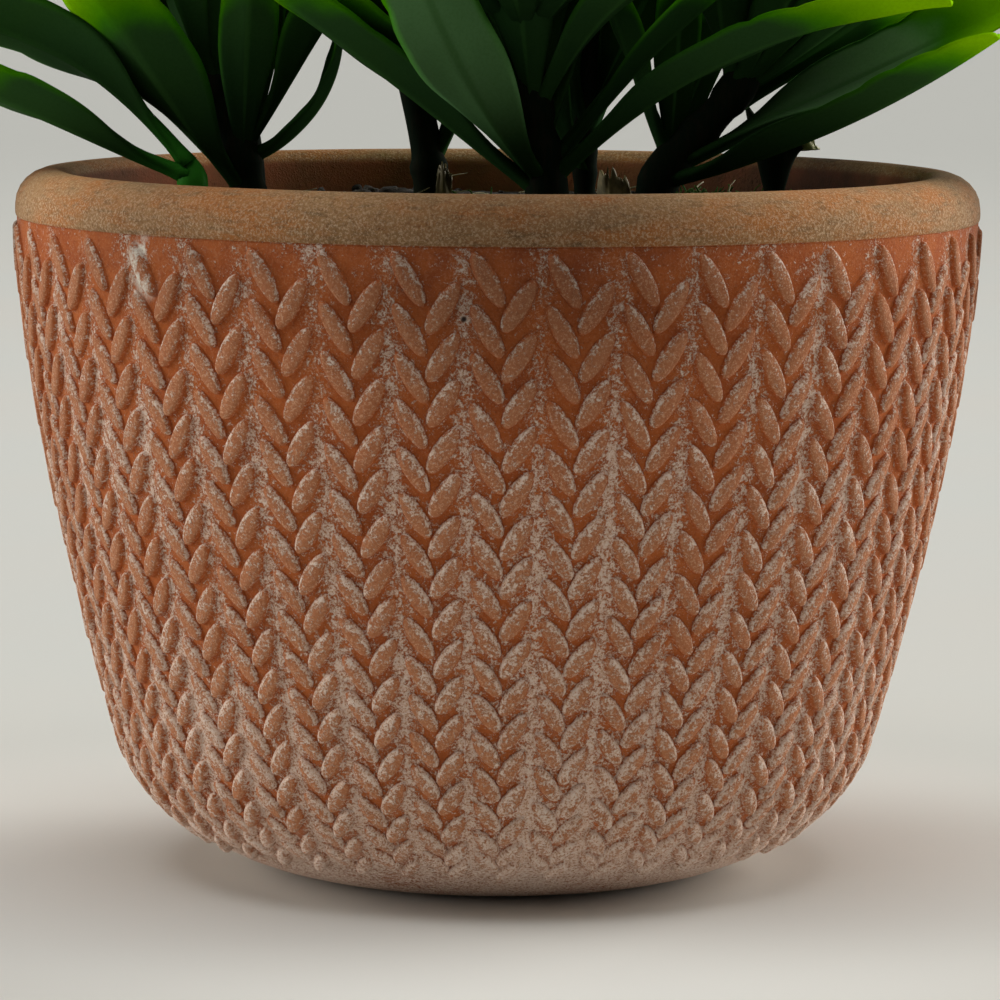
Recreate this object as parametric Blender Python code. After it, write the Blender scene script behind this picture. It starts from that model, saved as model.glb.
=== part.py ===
"""A potted hoya: leafy stems with strap leaves in tiers, standing in soil in a moulded terracotta pot.

Lengths are in metres and written as millimetres times MM, angles are in degrees. +Z is up and the
origin is the middle of the pot's underside. An azimuth of 0 points along +X and 90 along +Y.
"""

import math
import random
from collections import namedtuple

import bmesh
import bpy
import numpy as np
from mathutils import Vector, geometry
from mathutils.bvhtree import BVHTree

MM = 0.001
GAP = 0.3 * MM
SHARP = 40

# The pot's outer wall
POT_HEIGHT = 124 * MM
RIM_RADIUS = 85 * MM
WALL_TOP = 118 * MM
WALL_TAPER = 25.5 * MM
WALL_CURVE = 1.5
WALL_SAMPLES = 500
FOOT_ROUND = 28 * MM
FOOT_HEIGHT = 24 * MM
FOOT_ARCS = [5 * MM, 12 * MM, 19 * MM]

# The pot's rim and inside
RIM_TOP_RADIUS = 79 * MM
RIM_TURNS = [0, 33, 62, 90]
RIM_INNER_ROUND = 3 * MM
WALL_THICKNESS = 10 * MM
FLOOR_THICKNESS = 10 * MM
FLOOR_ROUND = 14 * MM
INSIDE_HEIGHTS = [85 * MM, 50 * MM]
DRAIN_HOLES = 3
DRAIN_RADIUS = 4.5 * MM
DRAIN_CIRCLE = 20 * MM

# The braid on the wall: columns of paired seeds in a V, as arc lengths up the wall from the base
BRAID_COLUMNS = 20
BRAID_ROWS = 8
BRAID_TOP = 139 * MM
BRAID_BOTTOM = 28 * MM
BRAID_SHRINK = 0.95
BRAID_TAIL = 0.8
BRAID_MARGIN = 0.5 * MM
SEED_RISE = 1.02
SEED_WIDTH = 0.34
SEED_RELIEF = 1.5 * MM
SEED_LEFT = (0.05, 0.41)
SEED_RIGHT = (0.93, 0.53)
SEED_OFFSET = 0.5
SEED_SHOULDERS = (0.3, 0.7)
SEED_RIDGE = (0.28, 0.72)
COLUMN_EDGE_DROP = 0.35
SIDES = 2 * BRAID_COLUMNS

# The soil and what stands in it. Heights on a stem are measured from STEM_BASE
STEM_BASE = 118.5 * MM
SOIL_EDGE = 116 * MM
SOIL_GAP = 0.5 * MM
SOIL_SEED = 5
SOIL_MOUND = 0.8 * MM
SOIL_BUMP = 0.5 * MM
SOIL_SECTORS = 18
SOIL_RINGS = [0.25, 0.52, 0.78]
STEM_DEPTH = 30
STEM_SIDES = 6
STEM_BUD = 3
STEM_TAPER = 0.4
STEM_END_SHARES = (0.55, 0.2)
NODE_SWELL = 1.2
NODE_RUN = 4
NODE_SPACING = 2
HOLE_SIDES = 8

# The leaves
LEAF_STATIONS = [0.0, 0.17, 0.38, 0.64, 0.76, 0.88, 0.985]
GROWN_STATIONS = [0.0, 0.2, 0.46, 0.68, 0.86, 0.985]
OUTER_STATION = 1
PETIOLE_HALF = 1.7 * MM
PETIOLE_THICK = 2.3 * MM
BLADE_THICK = 1.4 * MM
BLADE_FULL = 0.38
TIP_START = 0.62
TIP_POWER = 2.6
SCALLOPS = 2
SCALLOP_START = 0.52
SCALLOP_DEPTH = 0.14
SCALLOP_POWER = 0.6
CHANNEL = 19
CHANNEL_FROM = 0.02
CHANNEL_FULL = 0.3
ROLL_FULL = 0.5
THIN_BY = 0.4
ROOT_SHARE = 0.3
SPINE_STEPS = 40
CLEARANCE = 0.5 * MM
RIM_CLEARANCE = 2 * MM
RIM_MARGIN = 3 * MM

Stem = namedtuple("Stem", "name foot lean reach knee height radius first_tier seed turn")
Leaf = namedtuple("Leaf", "tier azimuth rise arch length width roll stations")

# Feet in millimetres from the pot's axis. A stem leans towards azimuth lean by reach, half of it at
# height knee. Its grown tiers start at first_tier, turned by turn and varied by seed.
STEMS = [
    Stem("left", (-44, -3), 172, 16, 24, 78, 3.0, 44, 11, 157),
    Stem("side_shoot", (-53.5, -9), 180, 2, 20, 7, 3.0, 99, 12, 204),
    Stem("centre", (8.5, -26), 180, 6, 22, 84, 3.1, 44, 13, 251),
    Stem("right", (27, -6), 0, 29, 20, 78, 3.1, 45, 14, 298),
    Stem("middle", (15.5, 10), 70, 5, 45, 92, 1.9, 30, 15, 345),
    Stem("back_left", (-12.5, 34), 140, 16, 32, 86, 3.0, 25, 16, 32),
    Stem("back_right", (31, 42), 30, 26, 35, 80, 2.6, 20, 17, 79),
    Stem("left_back", (-45, 26), 150, 14, 35, 78, 2.8, 18, 18, 126),
]

# The lower leaves of the front stems: tier height, azimuth, rise, arch, length, width and roll, in
# millimetres and degrees. A leaf starts off at rise and is bent by arch by its tip, and its blade is
# rolled about its own length by roll.
SEEN_LEAVES = {
    "side_shoot": [
        (4.5, 184, 21, 4, 68, 15.5, -30),
        (6, 168, 52, -60, 72, 18, -46),
    ],
    "left": [
        (1, 208, 46, 16, 72, 18, -42),
        (7.5, 5, 16, 80, 32, 9, 0),
        (8.5, 12, 56, 2, 60, 18.5, 35),
        (6.5, 55, 70, 0, 60, 12, 0),
        (7, 305, 70, -10, 58, 11, 10),
        (20, 352, 62, -6, 60, 13, -45),
        (20, 75, 70, 0, 60, 11, 0),
        (20, 215, 62, -18, 62, 13, 0),
        (20, 290, 62, -20, 58, 12, 0),
        (31, 205, 34, -16, 74, 15, 0),
    ],
    "centre": [
        (4.5, 228, 36, 40, 78, 16, -48),
        (2.5, 187, 37, -2, 84, 14.5, -25),
        (4.5, 345, 44, -40, 78, 13, 24),
        (8.5, 172, 33, 8, 80, 15, -25),
        (6.5, 12, 52, -24, 74, 13, 25),
        (11, 38, 70, -4, 60, 12, 0),
        (16.5, 222, 69, 0, 68, 14, -30),
        (16.5, 352, 62, -72, 70, 12, 20),
        (17.5, 170, 58, -6, 70, 13, -25),
        (17, 80, 70, 0, 64, 12, 0),
        (30, 262, 30, -14, 84, 16, 0),
        (30, 222, 36, -12, 78, 15, 0),
        (30, 305, 34, -14, 80, 15, 0),
    ],
    "right": [
        (6, 349, 25, 2, 82, 16, -38),
        (4, 335, 12, 22, 68, 15, 12),
        (12.5, 8, 31, -2, 74, 15, -32),
        (7, 42, 58, -6, 60, 11, 0),
        (7.5, 165, 66, 8, 50, 9, -50),
        (7.5, 100, 78, 0, 52, 9, 0),
        (19.5, 4, 34, -2, 70, 13, 20),
        (20.5, 348, 42, -14, 62, 13, 10),
        (19.5, 44, 52, -8, 64, 12, 0),
        (20, 165, 66, -6, 56, 13, -50),
        (20, 312, 52, -14, 60, 12, 0),
        (32, 285, 34, -16, 76, 15, 0),
    ],
    "middle": [
        (4.5, 205, 60, 0, 66, 14, -55),
        (8, 90, 74, 0, 60, 15, 0),
        (13, 150, 72, 0, 58, 13, -60),
        (11, 12, 66, 0, 64, 15, -55),
    ],
    "back_left": [
        (4, 20, 62, 0, 60, 12, -40),
    ],
}

# How the unseen tiers grow, from low to high on a stem, and how far a leaf may turn and lift for room
TIER_SPACING = 16
TIER_LEAVES = (4, 3)
FULL_TIERS_BELOW = 48
TIER_TURN = 62
LOW_RISE = 34
HIGH_RISE = 72
LOW_LENGTH = 72
HIGH_LENGTH = 46
GROWN_WIDTHS = (12, 15)
GROWN_ARCHES = (-26, 2)
GROWN_ROLL = 14
GROWN_TURN_VARIES = 12
GROWN_RISE_VARIES = 5
GROWN_LENGTH_VARIES = 4
TURNS = [0, 5, -5, 10, -10, 17, -17, 26, -26, 38, -38, 52, -52]
LIFTS = [0, 5, -5, 12]

# A cut shoot, as height, half width and half depth in millimetres from the soil up, and two dry husks,
# each with its foot, the way it faces, its half width and its height
CUT_SHOOT_FOOT = (50, 20)
CUT_SHOOT_STATIONS = [(-10, 1.6, 1.5), (0, 1.6, 1.5), (6, 3.2, 2.2), (12.5, 5.4, 2.6)]
CUT_SHOOT_SLANT = 3.5
CUT_SHOOT_RAGGED = 0.7
CUT_SHOOT_HOLLOW = 1.5
CUT_SHOOT_SIDES = 9
CUT_SHOOT_SEED = 3
HUSKS = {"husk_right": ((21, 2), 250, 3.6, 6.5), "husk_left": ((-10, 22), 285, 1.6, 6)}
HUSK_THICK = 0.9 * MM
HUSK_OUTLINE = [(0, 0.8), (0.55, 1.0), (1, 0.45)]
HUSK_BOW = 0.4
HUSK_LEAN = 1.5
HUSK_SLANT = 0.15

TERRACOTTA = (0.52, 0.22, 0.11, 1)
SOIL_BROWN = (0.03, 0.02, 0.014, 1)
LEAF_GREEN = (0.03, 0.14, 0.03, 1)
HUSK_YELLOW = (0.42, 0.38, 0.12, 1)


def smooth(value, low, high):
    t = min(1.0, max(0.0, (value - low) / (high - low)))
    return t * t * (3 - 2 * t)


def heading(azimuth, rise):
    a, e = math.radians(azimuth), math.radians(rise)
    return Vector((math.cos(a) * math.cos(e), math.sin(a) * math.cos(e), math.sin(e)))


def new_object(name, points, faces, finish):
    """An object made from points and faces, with coincident points merged."""
    mesh = bpy.data.meshes.new(name)
    mesh.from_pydata([tuple(p) for p in points], [], faces)
    shape = bmesh.new()
    shape.from_mesh(mesh)
    bmesh.ops.remove_doubles(shape, verts=shape.verts, dist=1e-6)
    bmesh.ops.recalc_face_normals(shape, faces=shape.faces)
    shape.to_mesh(mesh)
    shape.free()
    obj = bpy.data.objects.new(name, mesh)
    bpy.context.scene.collection.objects.link(obj)
    obj.data.materials.append(finish)
    shade(obj)
    return obj


def shade(obj):
    obj.data.shade_smooth()
    obj.data.set_sharp_from_angle(angle=math.radians(SHARP))


def material(name, colour, roughness):
    made = bpy.data.materials.new(name)
    made.use_nodes = True
    shader = made.node_tree.nodes["Principled BSDF"]
    shader.inputs["Base Color"].default_value = colour
    shader.inputs["Roughness"].default_value = roughness
    return made


def wall_radius(z):
    """The radius of the pot's outer wall, without its braid, at height z."""
    taper = WALL_TAPER * max(0.0, 1 - z / WALL_TOP) ** WALL_CURVE
    foot = max(0.0, 1 - z / FOOT_HEIGHT)
    return RIM_RADIUS - taper - FOOT_ROUND * (1 - math.sqrt(1 - foot * foot))


WALL_HEIGHTS = WALL_TOP * np.linspace(0, 1, WALL_SAMPLES) ** 2
WALL_RADII = np.array([wall_radius(z) for z in WALL_HEIGHTS])
WALL_ARCS = np.concatenate([[0], np.cumsum(np.hypot(np.diff(WALL_HEIGHTS), np.diff(WALL_RADII)))])
INSIDE_TOP = (RIM_RADIUS - WALL_THICKNESS, POT_HEIGHT - RIM_INNER_ROUND)


def wall_profile(arc):
    """(radius, z) on the outer wall at a distance arc up it from the base."""
    return np.interp(arc, WALL_ARCS, WALL_RADII), np.interp(arc, WALL_ARCS, WALL_HEIGHTS)


def wall_point(turn, arc, lift=0.0):
    """A point on the outer wall: turn in columns round the pot, arc up the wall, lift off its surface."""
    r, z = wall_profile(arc)
    ahead = wall_profile(min(arc + MM, WALL_ARCS[-1]))
    slope = Vector((ahead[0] - r, ahead[1] - z))
    slope.normalize()
    r, z = r + lift * slope.y, z - lift * slope.x
    angle = 2 * math.pi * turn / BRAID_COLUMNS
    return Vector((r * math.cos(angle), r * math.sin(angle), z))


def braid_rows():
    """The arc of each row's top, from the rim down, and the row's pitch. Rows shrink towards the foot."""
    span = BRAID_TOP - BRAID_BOTTOM
    pitch = span * (1 - BRAID_SHRINK) / (1 - BRAID_SHRINK ** (BRAID_ROWS + BRAID_TAIL))
    rows, top = [], BRAID_TOP - BRAID_MARGIN
    for _ in range(BRAID_ROWS):
        rows.append((top, pitch))
        top -= pitch
        pitch *= BRAID_SHRINK
    return rows


def seed_points(outer, inner, top, pitch):
    """One seed's six outline points and two ridge points, as (turn, arc), from its upper tip round."""
    tip, root = Vector((outer, top)), Vector((inner, top - SEED_RISE * pitch))
    column = 2 * math.pi * RIM_RADIUS / BRAID_COLUMNS
    along = Vector(((root.x - tip.x) * column, root.y - tip.y))
    across = Vector((along.y, -along.x)).normalized() * SEED_WIDTH * pitch * 0.5
    across.x /= column
    outline = [tip]
    outline += [tip.lerp(root, t) + across for t in SEED_SHOULDERS]
    outline += [root]
    outline += [tip.lerp(root, t) - across for t in reversed(SEED_SHOULDERS)]
    ridge = [tip.lerp(root, t) for t in SEED_RIDGE]
    return outline, ridge


def braid_column():
    """One column of the braid as (turn, arc, lift) points and faces, with the ground between its seeds."""
    column = 2 * math.pi * RIM_RADIUS / BRAID_COLUMNS
    rows = braid_rows()
    edge = [BRAID_TOP] + [top - COLUMN_EDGE_DROP * pitch for top, pitch in rows] + [BRAID_BOTTOM]
    flat = [(turn, arc) for turn in (0.0, 1.0) for arc in edge]
    flat += [(0.5, BRAID_TOP), (0.5, BRAID_BOTTOM)]
    outlines, ridges = [], []
    for top, pitch in rows:
        for (outer, inner), drop in ((SEED_LEFT, 0.0), (SEED_RIGHT, SEED_OFFSET * pitch)):
            outline, ridge = seed_points(outer, inner, top - drop, pitch)
            outlines.append(list(range(len(flat), len(flat) + len(outline))))
            ridges.append(ridge)
            flat += [tuple(p) for p in outline]
    plane = [Vector((turn * column, arc)) for turn, arc in flat]
    _, _, ground, origins, _, inside = geometry.delaunay_2d_cdt(plane, [], outlines, 0, 1e-7)
    points = [(turn, arc, 0.0) for turn, arc in flat]
    faces = [[origins[v][0] for v in face] for face, seeds in zip(ground, inside) if not seeds]
    for outline, ridge in zip(outlines, ridges):
        p, q = len(points), len(points) + 1
        points += [(turn, arc, SEED_RELIEF) for turn, arc in ridge]
        a, b, c, d, e, f = outline
        faces += [[a, b, p], [b, c, q, p], [c, d, q], [d, e, q], [e, f, p, q], [f, a, p]]
    return points, faces


def ring(radius, z, sides):
    return [
        Vector((radius * math.cos(2 * math.pi * k / sides), radius * math.sin(2 * math.pi * k / sides), z))
        for k in range(sides)
    ]


def band(start, sides):
    """The faces between ring number start and the next, in a list of rings laid end to end."""
    low = start * sides
    corners = [(low + k, low + (k + 1) % sides) for k in range(sides)]
    return [[a, b, b + sides, a + sides] for a, b in corners]


def rim_profile():
    """(radius, z) over the rim, from the top of the outer wall to the top of the inner one."""
    out, rise = RIM_RADIUS - RIM_TOP_RADIUS, POT_HEIGHT - WALL_TOP
    turns = [math.radians(a) for a in RIM_TURNS]
    outer = [(RIM_TOP_RADIUS + out * math.cos(a), WALL_TOP + rise * math.sin(a)) for a in turns]
    inner = [
        (INSIDE_TOP[0] + RIM_INNER_ROUND * (1 - math.cos(a)), INSIDE_TOP[1] + RIM_INNER_ROUND * math.sin(a))
        for a in (math.pi / 2, math.pi / 4, 0)
    ]
    return outer + inner


def inside_profile(top, gap=0.0):
    """(radius, z) down the pot's inner wall from height top and on to its floor, moved inwards by gap."""
    wall = [INSIDE_TOP] + [(wall_radius(z) - WALL_THICKNESS, z) for z in INSIDE_HEIGHTS]
    corner = wall_radius(FLOOR_THICKNESS + FLOOR_ROUND) - WALL_THICKNESS
    bend = [
        (corner - FLOOR_ROUND * (1 - math.cos(a)), FLOOR_THICKNESS + FLOOR_ROUND * (1 - math.sin(a)))
        for a in (0, math.pi / 4, math.pi / 2)
    ]
    profile = wall + bend
    radii, heights = [r for r, _ in reversed(profile)], [z for _, z in reversed(profile)]
    below = [(r, z) for r, z in profile if z < top]
    floor = FLOOR_THICKNESS + gap
    return [(np.interp(top, heights, radii) - gap, top)] + [(r - gap, max(z, floor)) for r, z in below]


def drill(target, name, centre, radius, low, high):
    """Cuts a plain round hole through target, between heights low and high."""
    points = ring(radius, low, HOLE_SIDES) + ring(radius, high, HOLE_SIDES)
    faces = band(0, HOLE_SIDES) + [list(range(HOLE_SIDES)), list(range(HOLE_SIDES, 2 * HOLE_SIDES))]
    cutter = new_object(name, points, faces, target.data.materials[0])
    cutter.location = (centre[0], centre[1], 0)
    cutter.hide_render = True
    cutter.display_type = "WIRE"
    cut = target.modifiers.new(name, "BOOLEAN")
    cut.operation = "DIFFERENCE"
    cut.object = cutter


def build_pot(finish):
    column_points, column_faces = braid_column()
    points, faces = [], []
    for column in range(BRAID_COLUMNS):
        faces += [[v + len(points) for v in face] for face in column_faces]
        points += [wall_point(turn + column, arc, lift) for turn, arc, lift in column_points]
    foot = [wall_profile(arc) for arc in [0.0] + FOOT_ARCS + [BRAID_BOTTOM]]
    for profile in (foot, [wall_profile(BRAID_TOP)] + rim_profile() + inside_profile(INSIDE_TOP[1])[1:]):
        first = len(points)
        points += [p for r, z in profile for p in ring(r, z, SIDES)]
        faces += [[v + first for v in face] for k in range(len(profile) - 1) for face in band(k, SIDES)]
        if profile is foot:
            faces.append([first + k for k in range(SIDES)])
    faces.append([len(points) - SIDES + k for k in range(SIDES)])
    pot = new_object("pot", points, faces, finish)
    for k in range(DRAIN_HOLES):
        centre = DRAIN_CIRCLE * heading(360 * k / DRAIN_HOLES, 0)
        drill(pot, f"drain_{k}", centre, DRAIN_RADIUS, -FLOOR_THICKNESS, 2 * FLOOR_THICKNESS)
    return pot


def soil_height(radius, bump=0.0):
    inner = inside_profile(SOIL_EDGE, SOIL_GAP)[0][0]
    return SOIL_EDGE + SOIL_MOUND * (1 - (radius / inner) ** 2) + bump


def build_soil(finish, stems):
    """The soil fills the pot to just below its rim, with a plain hole for each stem that stands in it."""
    chance = random.Random(SOIL_SEED)
    profile = inside_profile(SOIL_EDGE, SOIL_GAP)
    inner = profile[0][0]
    points = [p for r, z in profile for p in ring(r, z, SOIL_SECTORS)]
    faces = [face for k in range(len(profile) - 1) for face in band(k, SOIL_SECTORS)]
    faces.append([(len(profile) - 1) * SOIL_SECTORS + k for k in range(SOIL_SECTORS)])
    first = len(points)
    for share in SOIL_RINGS + [1.0]:
        bump = 0.0 if share == 1.0 else SOIL_BUMP
        for p in ring(inner * share, 0, SOIL_SECTORS):
            points.append(Vector((p.x, p.y, soil_height(inner * share, chance.uniform(-bump, bump)))))
    faces += [[v + first for v in face] for k in range(len(SOIL_RINGS)) for face in band(k, SOIL_SECTORS)]
    faces += [[len(points), first + k, first + (k + 1) % SOIL_SECTORS] for k in range(SOIL_SECTORS)]
    points.append(Vector((0, 0, soil_height(0))))
    soil = new_object("soil", points, faces, finish)
    for name, foot, radius, depth in stems:
        centre = Vector(foot) * MM
        hole = (radius * MM + GAP) / math.cos(math.pi / HOLE_SIDES)
        drill(soil, "hole_" + name, centre, hole, STEM_BASE - depth * MM - GAP, POT_HEIGHT)
    return soil


def stem_point(stem, height):
    """The stem's axis at a height in millimetres above its base; below it the stem is plumb."""
    h = max(0.0, height)
    lean = heading(stem.lean, 0) * stem.reach * h * h / (h * h + stem.knee * stem.knee)
    return Vector((stem.foot[0] + lean.x, stem.foot[1] + lean.y, STEM_BASE / MM + height)) * MM


def seen_leaves(stem):
    return [Leaf(*values, LEAF_STATIONS) for values in SEEN_LEAVES.get(stem.name, [])]


def stem_tiers(stem):
    heights = sorted({leaf.tier for leaf in seen_leaves(stem)})
    height = stem.first_tier
    while height < stem.height - NODE_RUN:
        heights.append(height)
        height += TIER_SPACING
    return heights


def stem_mesh(stem):
    """A tube round the axis, swollen a little at each tier and drawn to a bud at the top."""
    stations = [(-STEM_DEPTH, stem.radius), (0, stem.radius)]
    for tier in stem_tiers(stem):
        share = 1 - STEM_TAPER * tier / stem.height
        if tier - stations[-1][0] > NODE_RUN + NODE_SPACING:
            stations.append((tier - NODE_RUN, stem.radius * share))
        if tier - stations[-1][0] > NODE_SPACING:
            stations.append((tier, stem.radius * share * NODE_SWELL))
    shoulder, tip = STEM_END_SHARES
    stations += [(stem.height - 1, stem.radius * shoulder), (stem.height + STEM_BUD, stem.radius * tip)]
    points, faces = [], []
    for height, radius in stations:
        centre = stem_point(stem, height)
        direction = (stem_point(stem, height + 1) - stem_point(stem, height - 1)).normalized()
        side = Vector((0, 1, 0)).cross(direction).normalized()
        front = direction.cross(side)
        for k in range(STEM_SIDES):
            a = 2 * math.pi * k / STEM_SIDES
            points.append(centre + (side * math.cos(a) + front * math.sin(a)) * radius * MM)
    faces += [face for k in range(len(stations) - 1) for face in band(k, STEM_SIDES)]
    faces += [list(range(STEM_SIDES)), list(range(len(points) - STEM_SIDES, len(points)))]
    return points, faces


def half_width(leaf, u):
    """Half the blade's width at share u of its length: narrow foot, broad strap, scalloped round tip."""
    body = PETIOLE_HALF + (leaf.width * MM / 2 - PETIOLE_HALF) * smooth(u, 0, BLADE_FULL)
    over = max(0.0, (u - TIP_START) / (1 - TIP_START))
    tip = (1 - over**TIP_POWER) ** (1 / TIP_POWER)
    lobe = max(0.0, (u - SCALLOP_START) / (1 - SCALLOP_START) * SCALLOPS) % 1
    notch = 0.0 if u < SCALLOP_START else SCALLOP_DEPTH * (1 - math.sin(math.pi * lobe) ** SCALLOP_POWER)
    return body * tip * (1 - notch)


def spine(stem, leaf):
    """The blade's middle line, worked out step by step from its root on the stem's axis."""
    start = heading(leaf.azimuth, leaf.rise) * stem.radius * ROOT_SHARE * MM
    point = stem_point(stem, leaf.tier) + start
    line = [point]
    for step in range(SPINE_STEPS):
        u = (step + 0.5) / SPINE_STEPS
        point = point + heading(leaf.azimuth, leaf.rise + leaf.arch * u) * leaf.length * MM / SPINE_STEPS
        line.append(point)
    return line


def blade_mesh(stem, leaf, first=0, pad=0.0):
    """A closed strap blade, folded along its middle into a channel. pad makes it wider and thicker."""
    line = spine(stem, leaf)
    points = []
    for u in leaf.stations[first:]:
        at = u * SPINE_STEPS
        low = min(int(at), SPINE_STEPS - 1)
        centre = line[low].lerp(line[low + 1], at - low)
        along = heading(leaf.azimuth, leaf.rise + leaf.arch * u)
        side = heading(leaf.azimuth - 90, 0)
        up = side.cross(along)
        roll = math.radians(leaf.roll) * smooth(u, 0, ROLL_FULL)
        side, up = side * math.cos(roll) + up * math.sin(roll), up * math.cos(roll) - side * math.sin(roll)
        fold = math.radians(CHANNEL) * smooth(u, CHANNEL_FROM, CHANNEL_FULL)
        half = half_width(leaf, u) + pad
        thick = PETIOLE_THICK + (BLADE_THICK - PETIOLE_THICK) * smooth(u, 0, THIN_BY) + 2 * pad
        edge_up = up * half * math.sin(fold)
        points += [
            centre - side * half * math.cos(fold) + edge_up,
            centre + up * thick / 2,
            centre + side * half * math.cos(fold) + edge_up,
            centre - up * thick / 2,
        ]
    faces = [[0, 1, 3], [1, 2, 3]]
    for k in range(0, len(points) - 4, 4):
        left, top, right, below = k, k + 1, k + 2, k + 3
        faces += [[left, left + 4, top + 4], [left, top + 4, top]]
        faces += [[right, top + 4, right + 4], [right, top, top + 4]]
        faces += [[left, below + 4, left + 4], [left, below, below + 4]]
        faces += [[right, right + 4, below + 4], [right, below + 4, below]]
    last = len(points) - 4
    faces += [[last, last + 3, last + 1], [last + 1, last + 3, last + 2]]
    return points, faces


def clears_pot(points):
    """True where every point is above the soil, and either inside the pot's mouth or above its rim."""
    for p in points:
        radius = math.hypot(p.x, p.y)
        if radius > RIM_RADIUS + RIM_MARGIN:
            continue
        over_rim = radius > RIM_RADIUS - WALL_THICKNESS - RIM_MARGIN
        low = POT_HEIGHT + RIM_CLEARANCE if over_rim else STEM_BASE + CLEARANCE
        if p.z < low:
            return False
    return True


def tree(mesh):
    return BVHTree.FromPolygons([tuple(p) for p in mesh[0]], mesh[1])


class Thicket:
    """The leaves and stems placed so far, which a new leaf has to stay clear of."""

    def __init__(self, others):
        self.stems = {stem.name: tree(stem_mesh(stem)) for stem in STEMS}
        self.others = others
        self.leaves = []

    def clear(self, stem, leaf):
        outer = blade_mesh(stem, leaf, OUTER_STATION, CLEARANCE)
        if not clears_pot(outer[0]):
            return False
        whole, outer = tree(blade_mesh(stem, leaf, 0, CLEARANCE)), tree(outer)
        if any(whole.overlap(other) for other in self.others):
            return False
        for name, tube in self.stems.items():
            if (outer if name == stem.name else whole).overlap(tube):
                return False
        for name, placed, placed_outer in self.leaves:
            own = name == stem.name
            if (outer if own else whole).overlap(placed_outer if own else placed):
                return False
        return True

    def add(self, stem, leaf):
        self.leaves.append(
            (stem.name, tree(blade_mesh(stem, leaf)), tree(blade_mesh(stem, leaf, OUTER_STATION)))
        )

    def settle(self, stem, leaf):
        """The leaf, turned and lifted just enough to clear what is there, or None where it finds no room."""
        for lift in LIFTS:
            for turn in TURNS:
                moved = leaf._replace(azimuth=leaf.azimuth + turn, rise=leaf.rise + lift)
                if self.clear(stem, moved):
                    self.add(stem, moved)
                    return moved
        return None


def grown_tiers(stem):
    """The leaves above those that are placed one by one: whorls that turn from tier to tier and steepen."""
    chance = random.Random(stem.seed)
    leaves = []
    tiers = [t for t in stem_tiers(stem) if t >= stem.first_tier]
    for number, tier in enumerate(tiers):
        share = tier / stem.height
        count = TIER_LEAVES[0] if tier < FULL_TIERS_BELOW else TIER_LEAVES[1]
        for k in range(count):
            azimuth = stem.turn + number * TIER_TURN + k * 360 / count
            azimuth += chance.uniform(-GROWN_TURN_VARIES, GROWN_TURN_VARIES)
            rise = LOW_RISE + (HIGH_RISE - LOW_RISE) * share
            rise += chance.uniform(-GROWN_RISE_VARIES, GROWN_RISE_VARIES)
            arch = chance.uniform(*GROWN_ARCHES)
            length = LOW_LENGTH + (HIGH_LENGTH - LOW_LENGTH) * share
            length += chance.uniform(-GROWN_LENGTH_VARIES, GROWN_LENGTH_VARIES)
            width = chance.uniform(*GROWN_WIDTHS)
            roll = chance.uniform(-GROWN_ROLL, GROWN_ROLL)
            leaves.append(Leaf(tier, azimuth, rise, arch, length, width, roll, GROWN_STATIONS))
    return leaves


def plan_leaves(others):
    """Every stem's leaves, those that are placed one by one first."""
    thicket = Thicket(others)
    plan = {stem.name: [] for stem in STEMS}
    for source in (seen_leaves, grown_tiers):
        for stem in STEMS:
            settled = [thicket.settle(stem, leaf) for leaf in source(stem)]
            plan[stem.name] += [leaf for leaf in settled if leaf]
    return plan


def build_leafy_stem(stem, leaves, finish):
    """The stem with its leaves joined on by one union."""
    body = new_object("leafy_stem_" + stem.name, *stem_mesh(stem), finish)
    blades = bpy.data.collections.new("blades")
    bpy.context.scene.collection.children.link(blades)
    for leaf in leaves:
        blade = new_object("blade", *blade_mesh(stem, leaf), finish)
        bpy.context.scene.collection.objects.unlink(blade)
        blades.objects.link(blade)
    join = body.modifiers.new("join", "BOOLEAN")
    join.operation = "UNION"
    join.operand_type = "COLLECTION"
    join.collection = blades
    bpy.context.view_layer.update()
    joined = bpy.data.meshes.new_from_object(body.evaluated_get(bpy.context.evaluated_depsgraph_get()))
    body.modifiers.clear()
    body.data = joined
    shade(body)
    for blade in list(blades.objects):
        bpy.data.objects.remove(blade)
    bpy.data.collections.remove(blades)
    return body


def cut_shoot_mesh():
    """A short flattened shoot that widens to its slanting, ragged cut."""
    chance = random.Random(CUT_SHOOT_SEED)
    foot = Vector((*CUT_SHOOT_FOOT, STEM_BASE / MM))
    top = CUT_SHOOT_STATIONS[-1][0]
    points = []
    for z, half, depth in CUT_SHOOT_STATIONS:
        for k in range(CUT_SHOOT_SIDES):
            a = 2 * math.pi * k / CUT_SHOOT_SIDES
            ragged = chance.uniform(-CUT_SHOOT_RAGGED, CUT_SHOOT_RAGGED)
            cut = ragged - CUT_SHOOT_SLANT * math.cos(a) if z == top else 0
            points.append((foot + Vector((half * math.cos(a), depth * math.sin(a), z + cut))) * MM)
    faces = [face for k in range(len(CUT_SHOOT_STATIONS) - 1) for face in band(k, CUT_SHOOT_SIDES)]
    faces.append(list(range(CUT_SHOOT_SIDES)))
    last = len(points) - CUT_SHOOT_SIDES
    points.append((foot + Vector((0, 0, top - CUT_SHOOT_HOLLOW))) * MM)
    faces += [[len(points) - 1, last + k, last + (k + 1) % CUT_SHOOT_SIDES] for k in range(CUT_SHOOT_SIDES)]
    return points, faces


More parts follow.
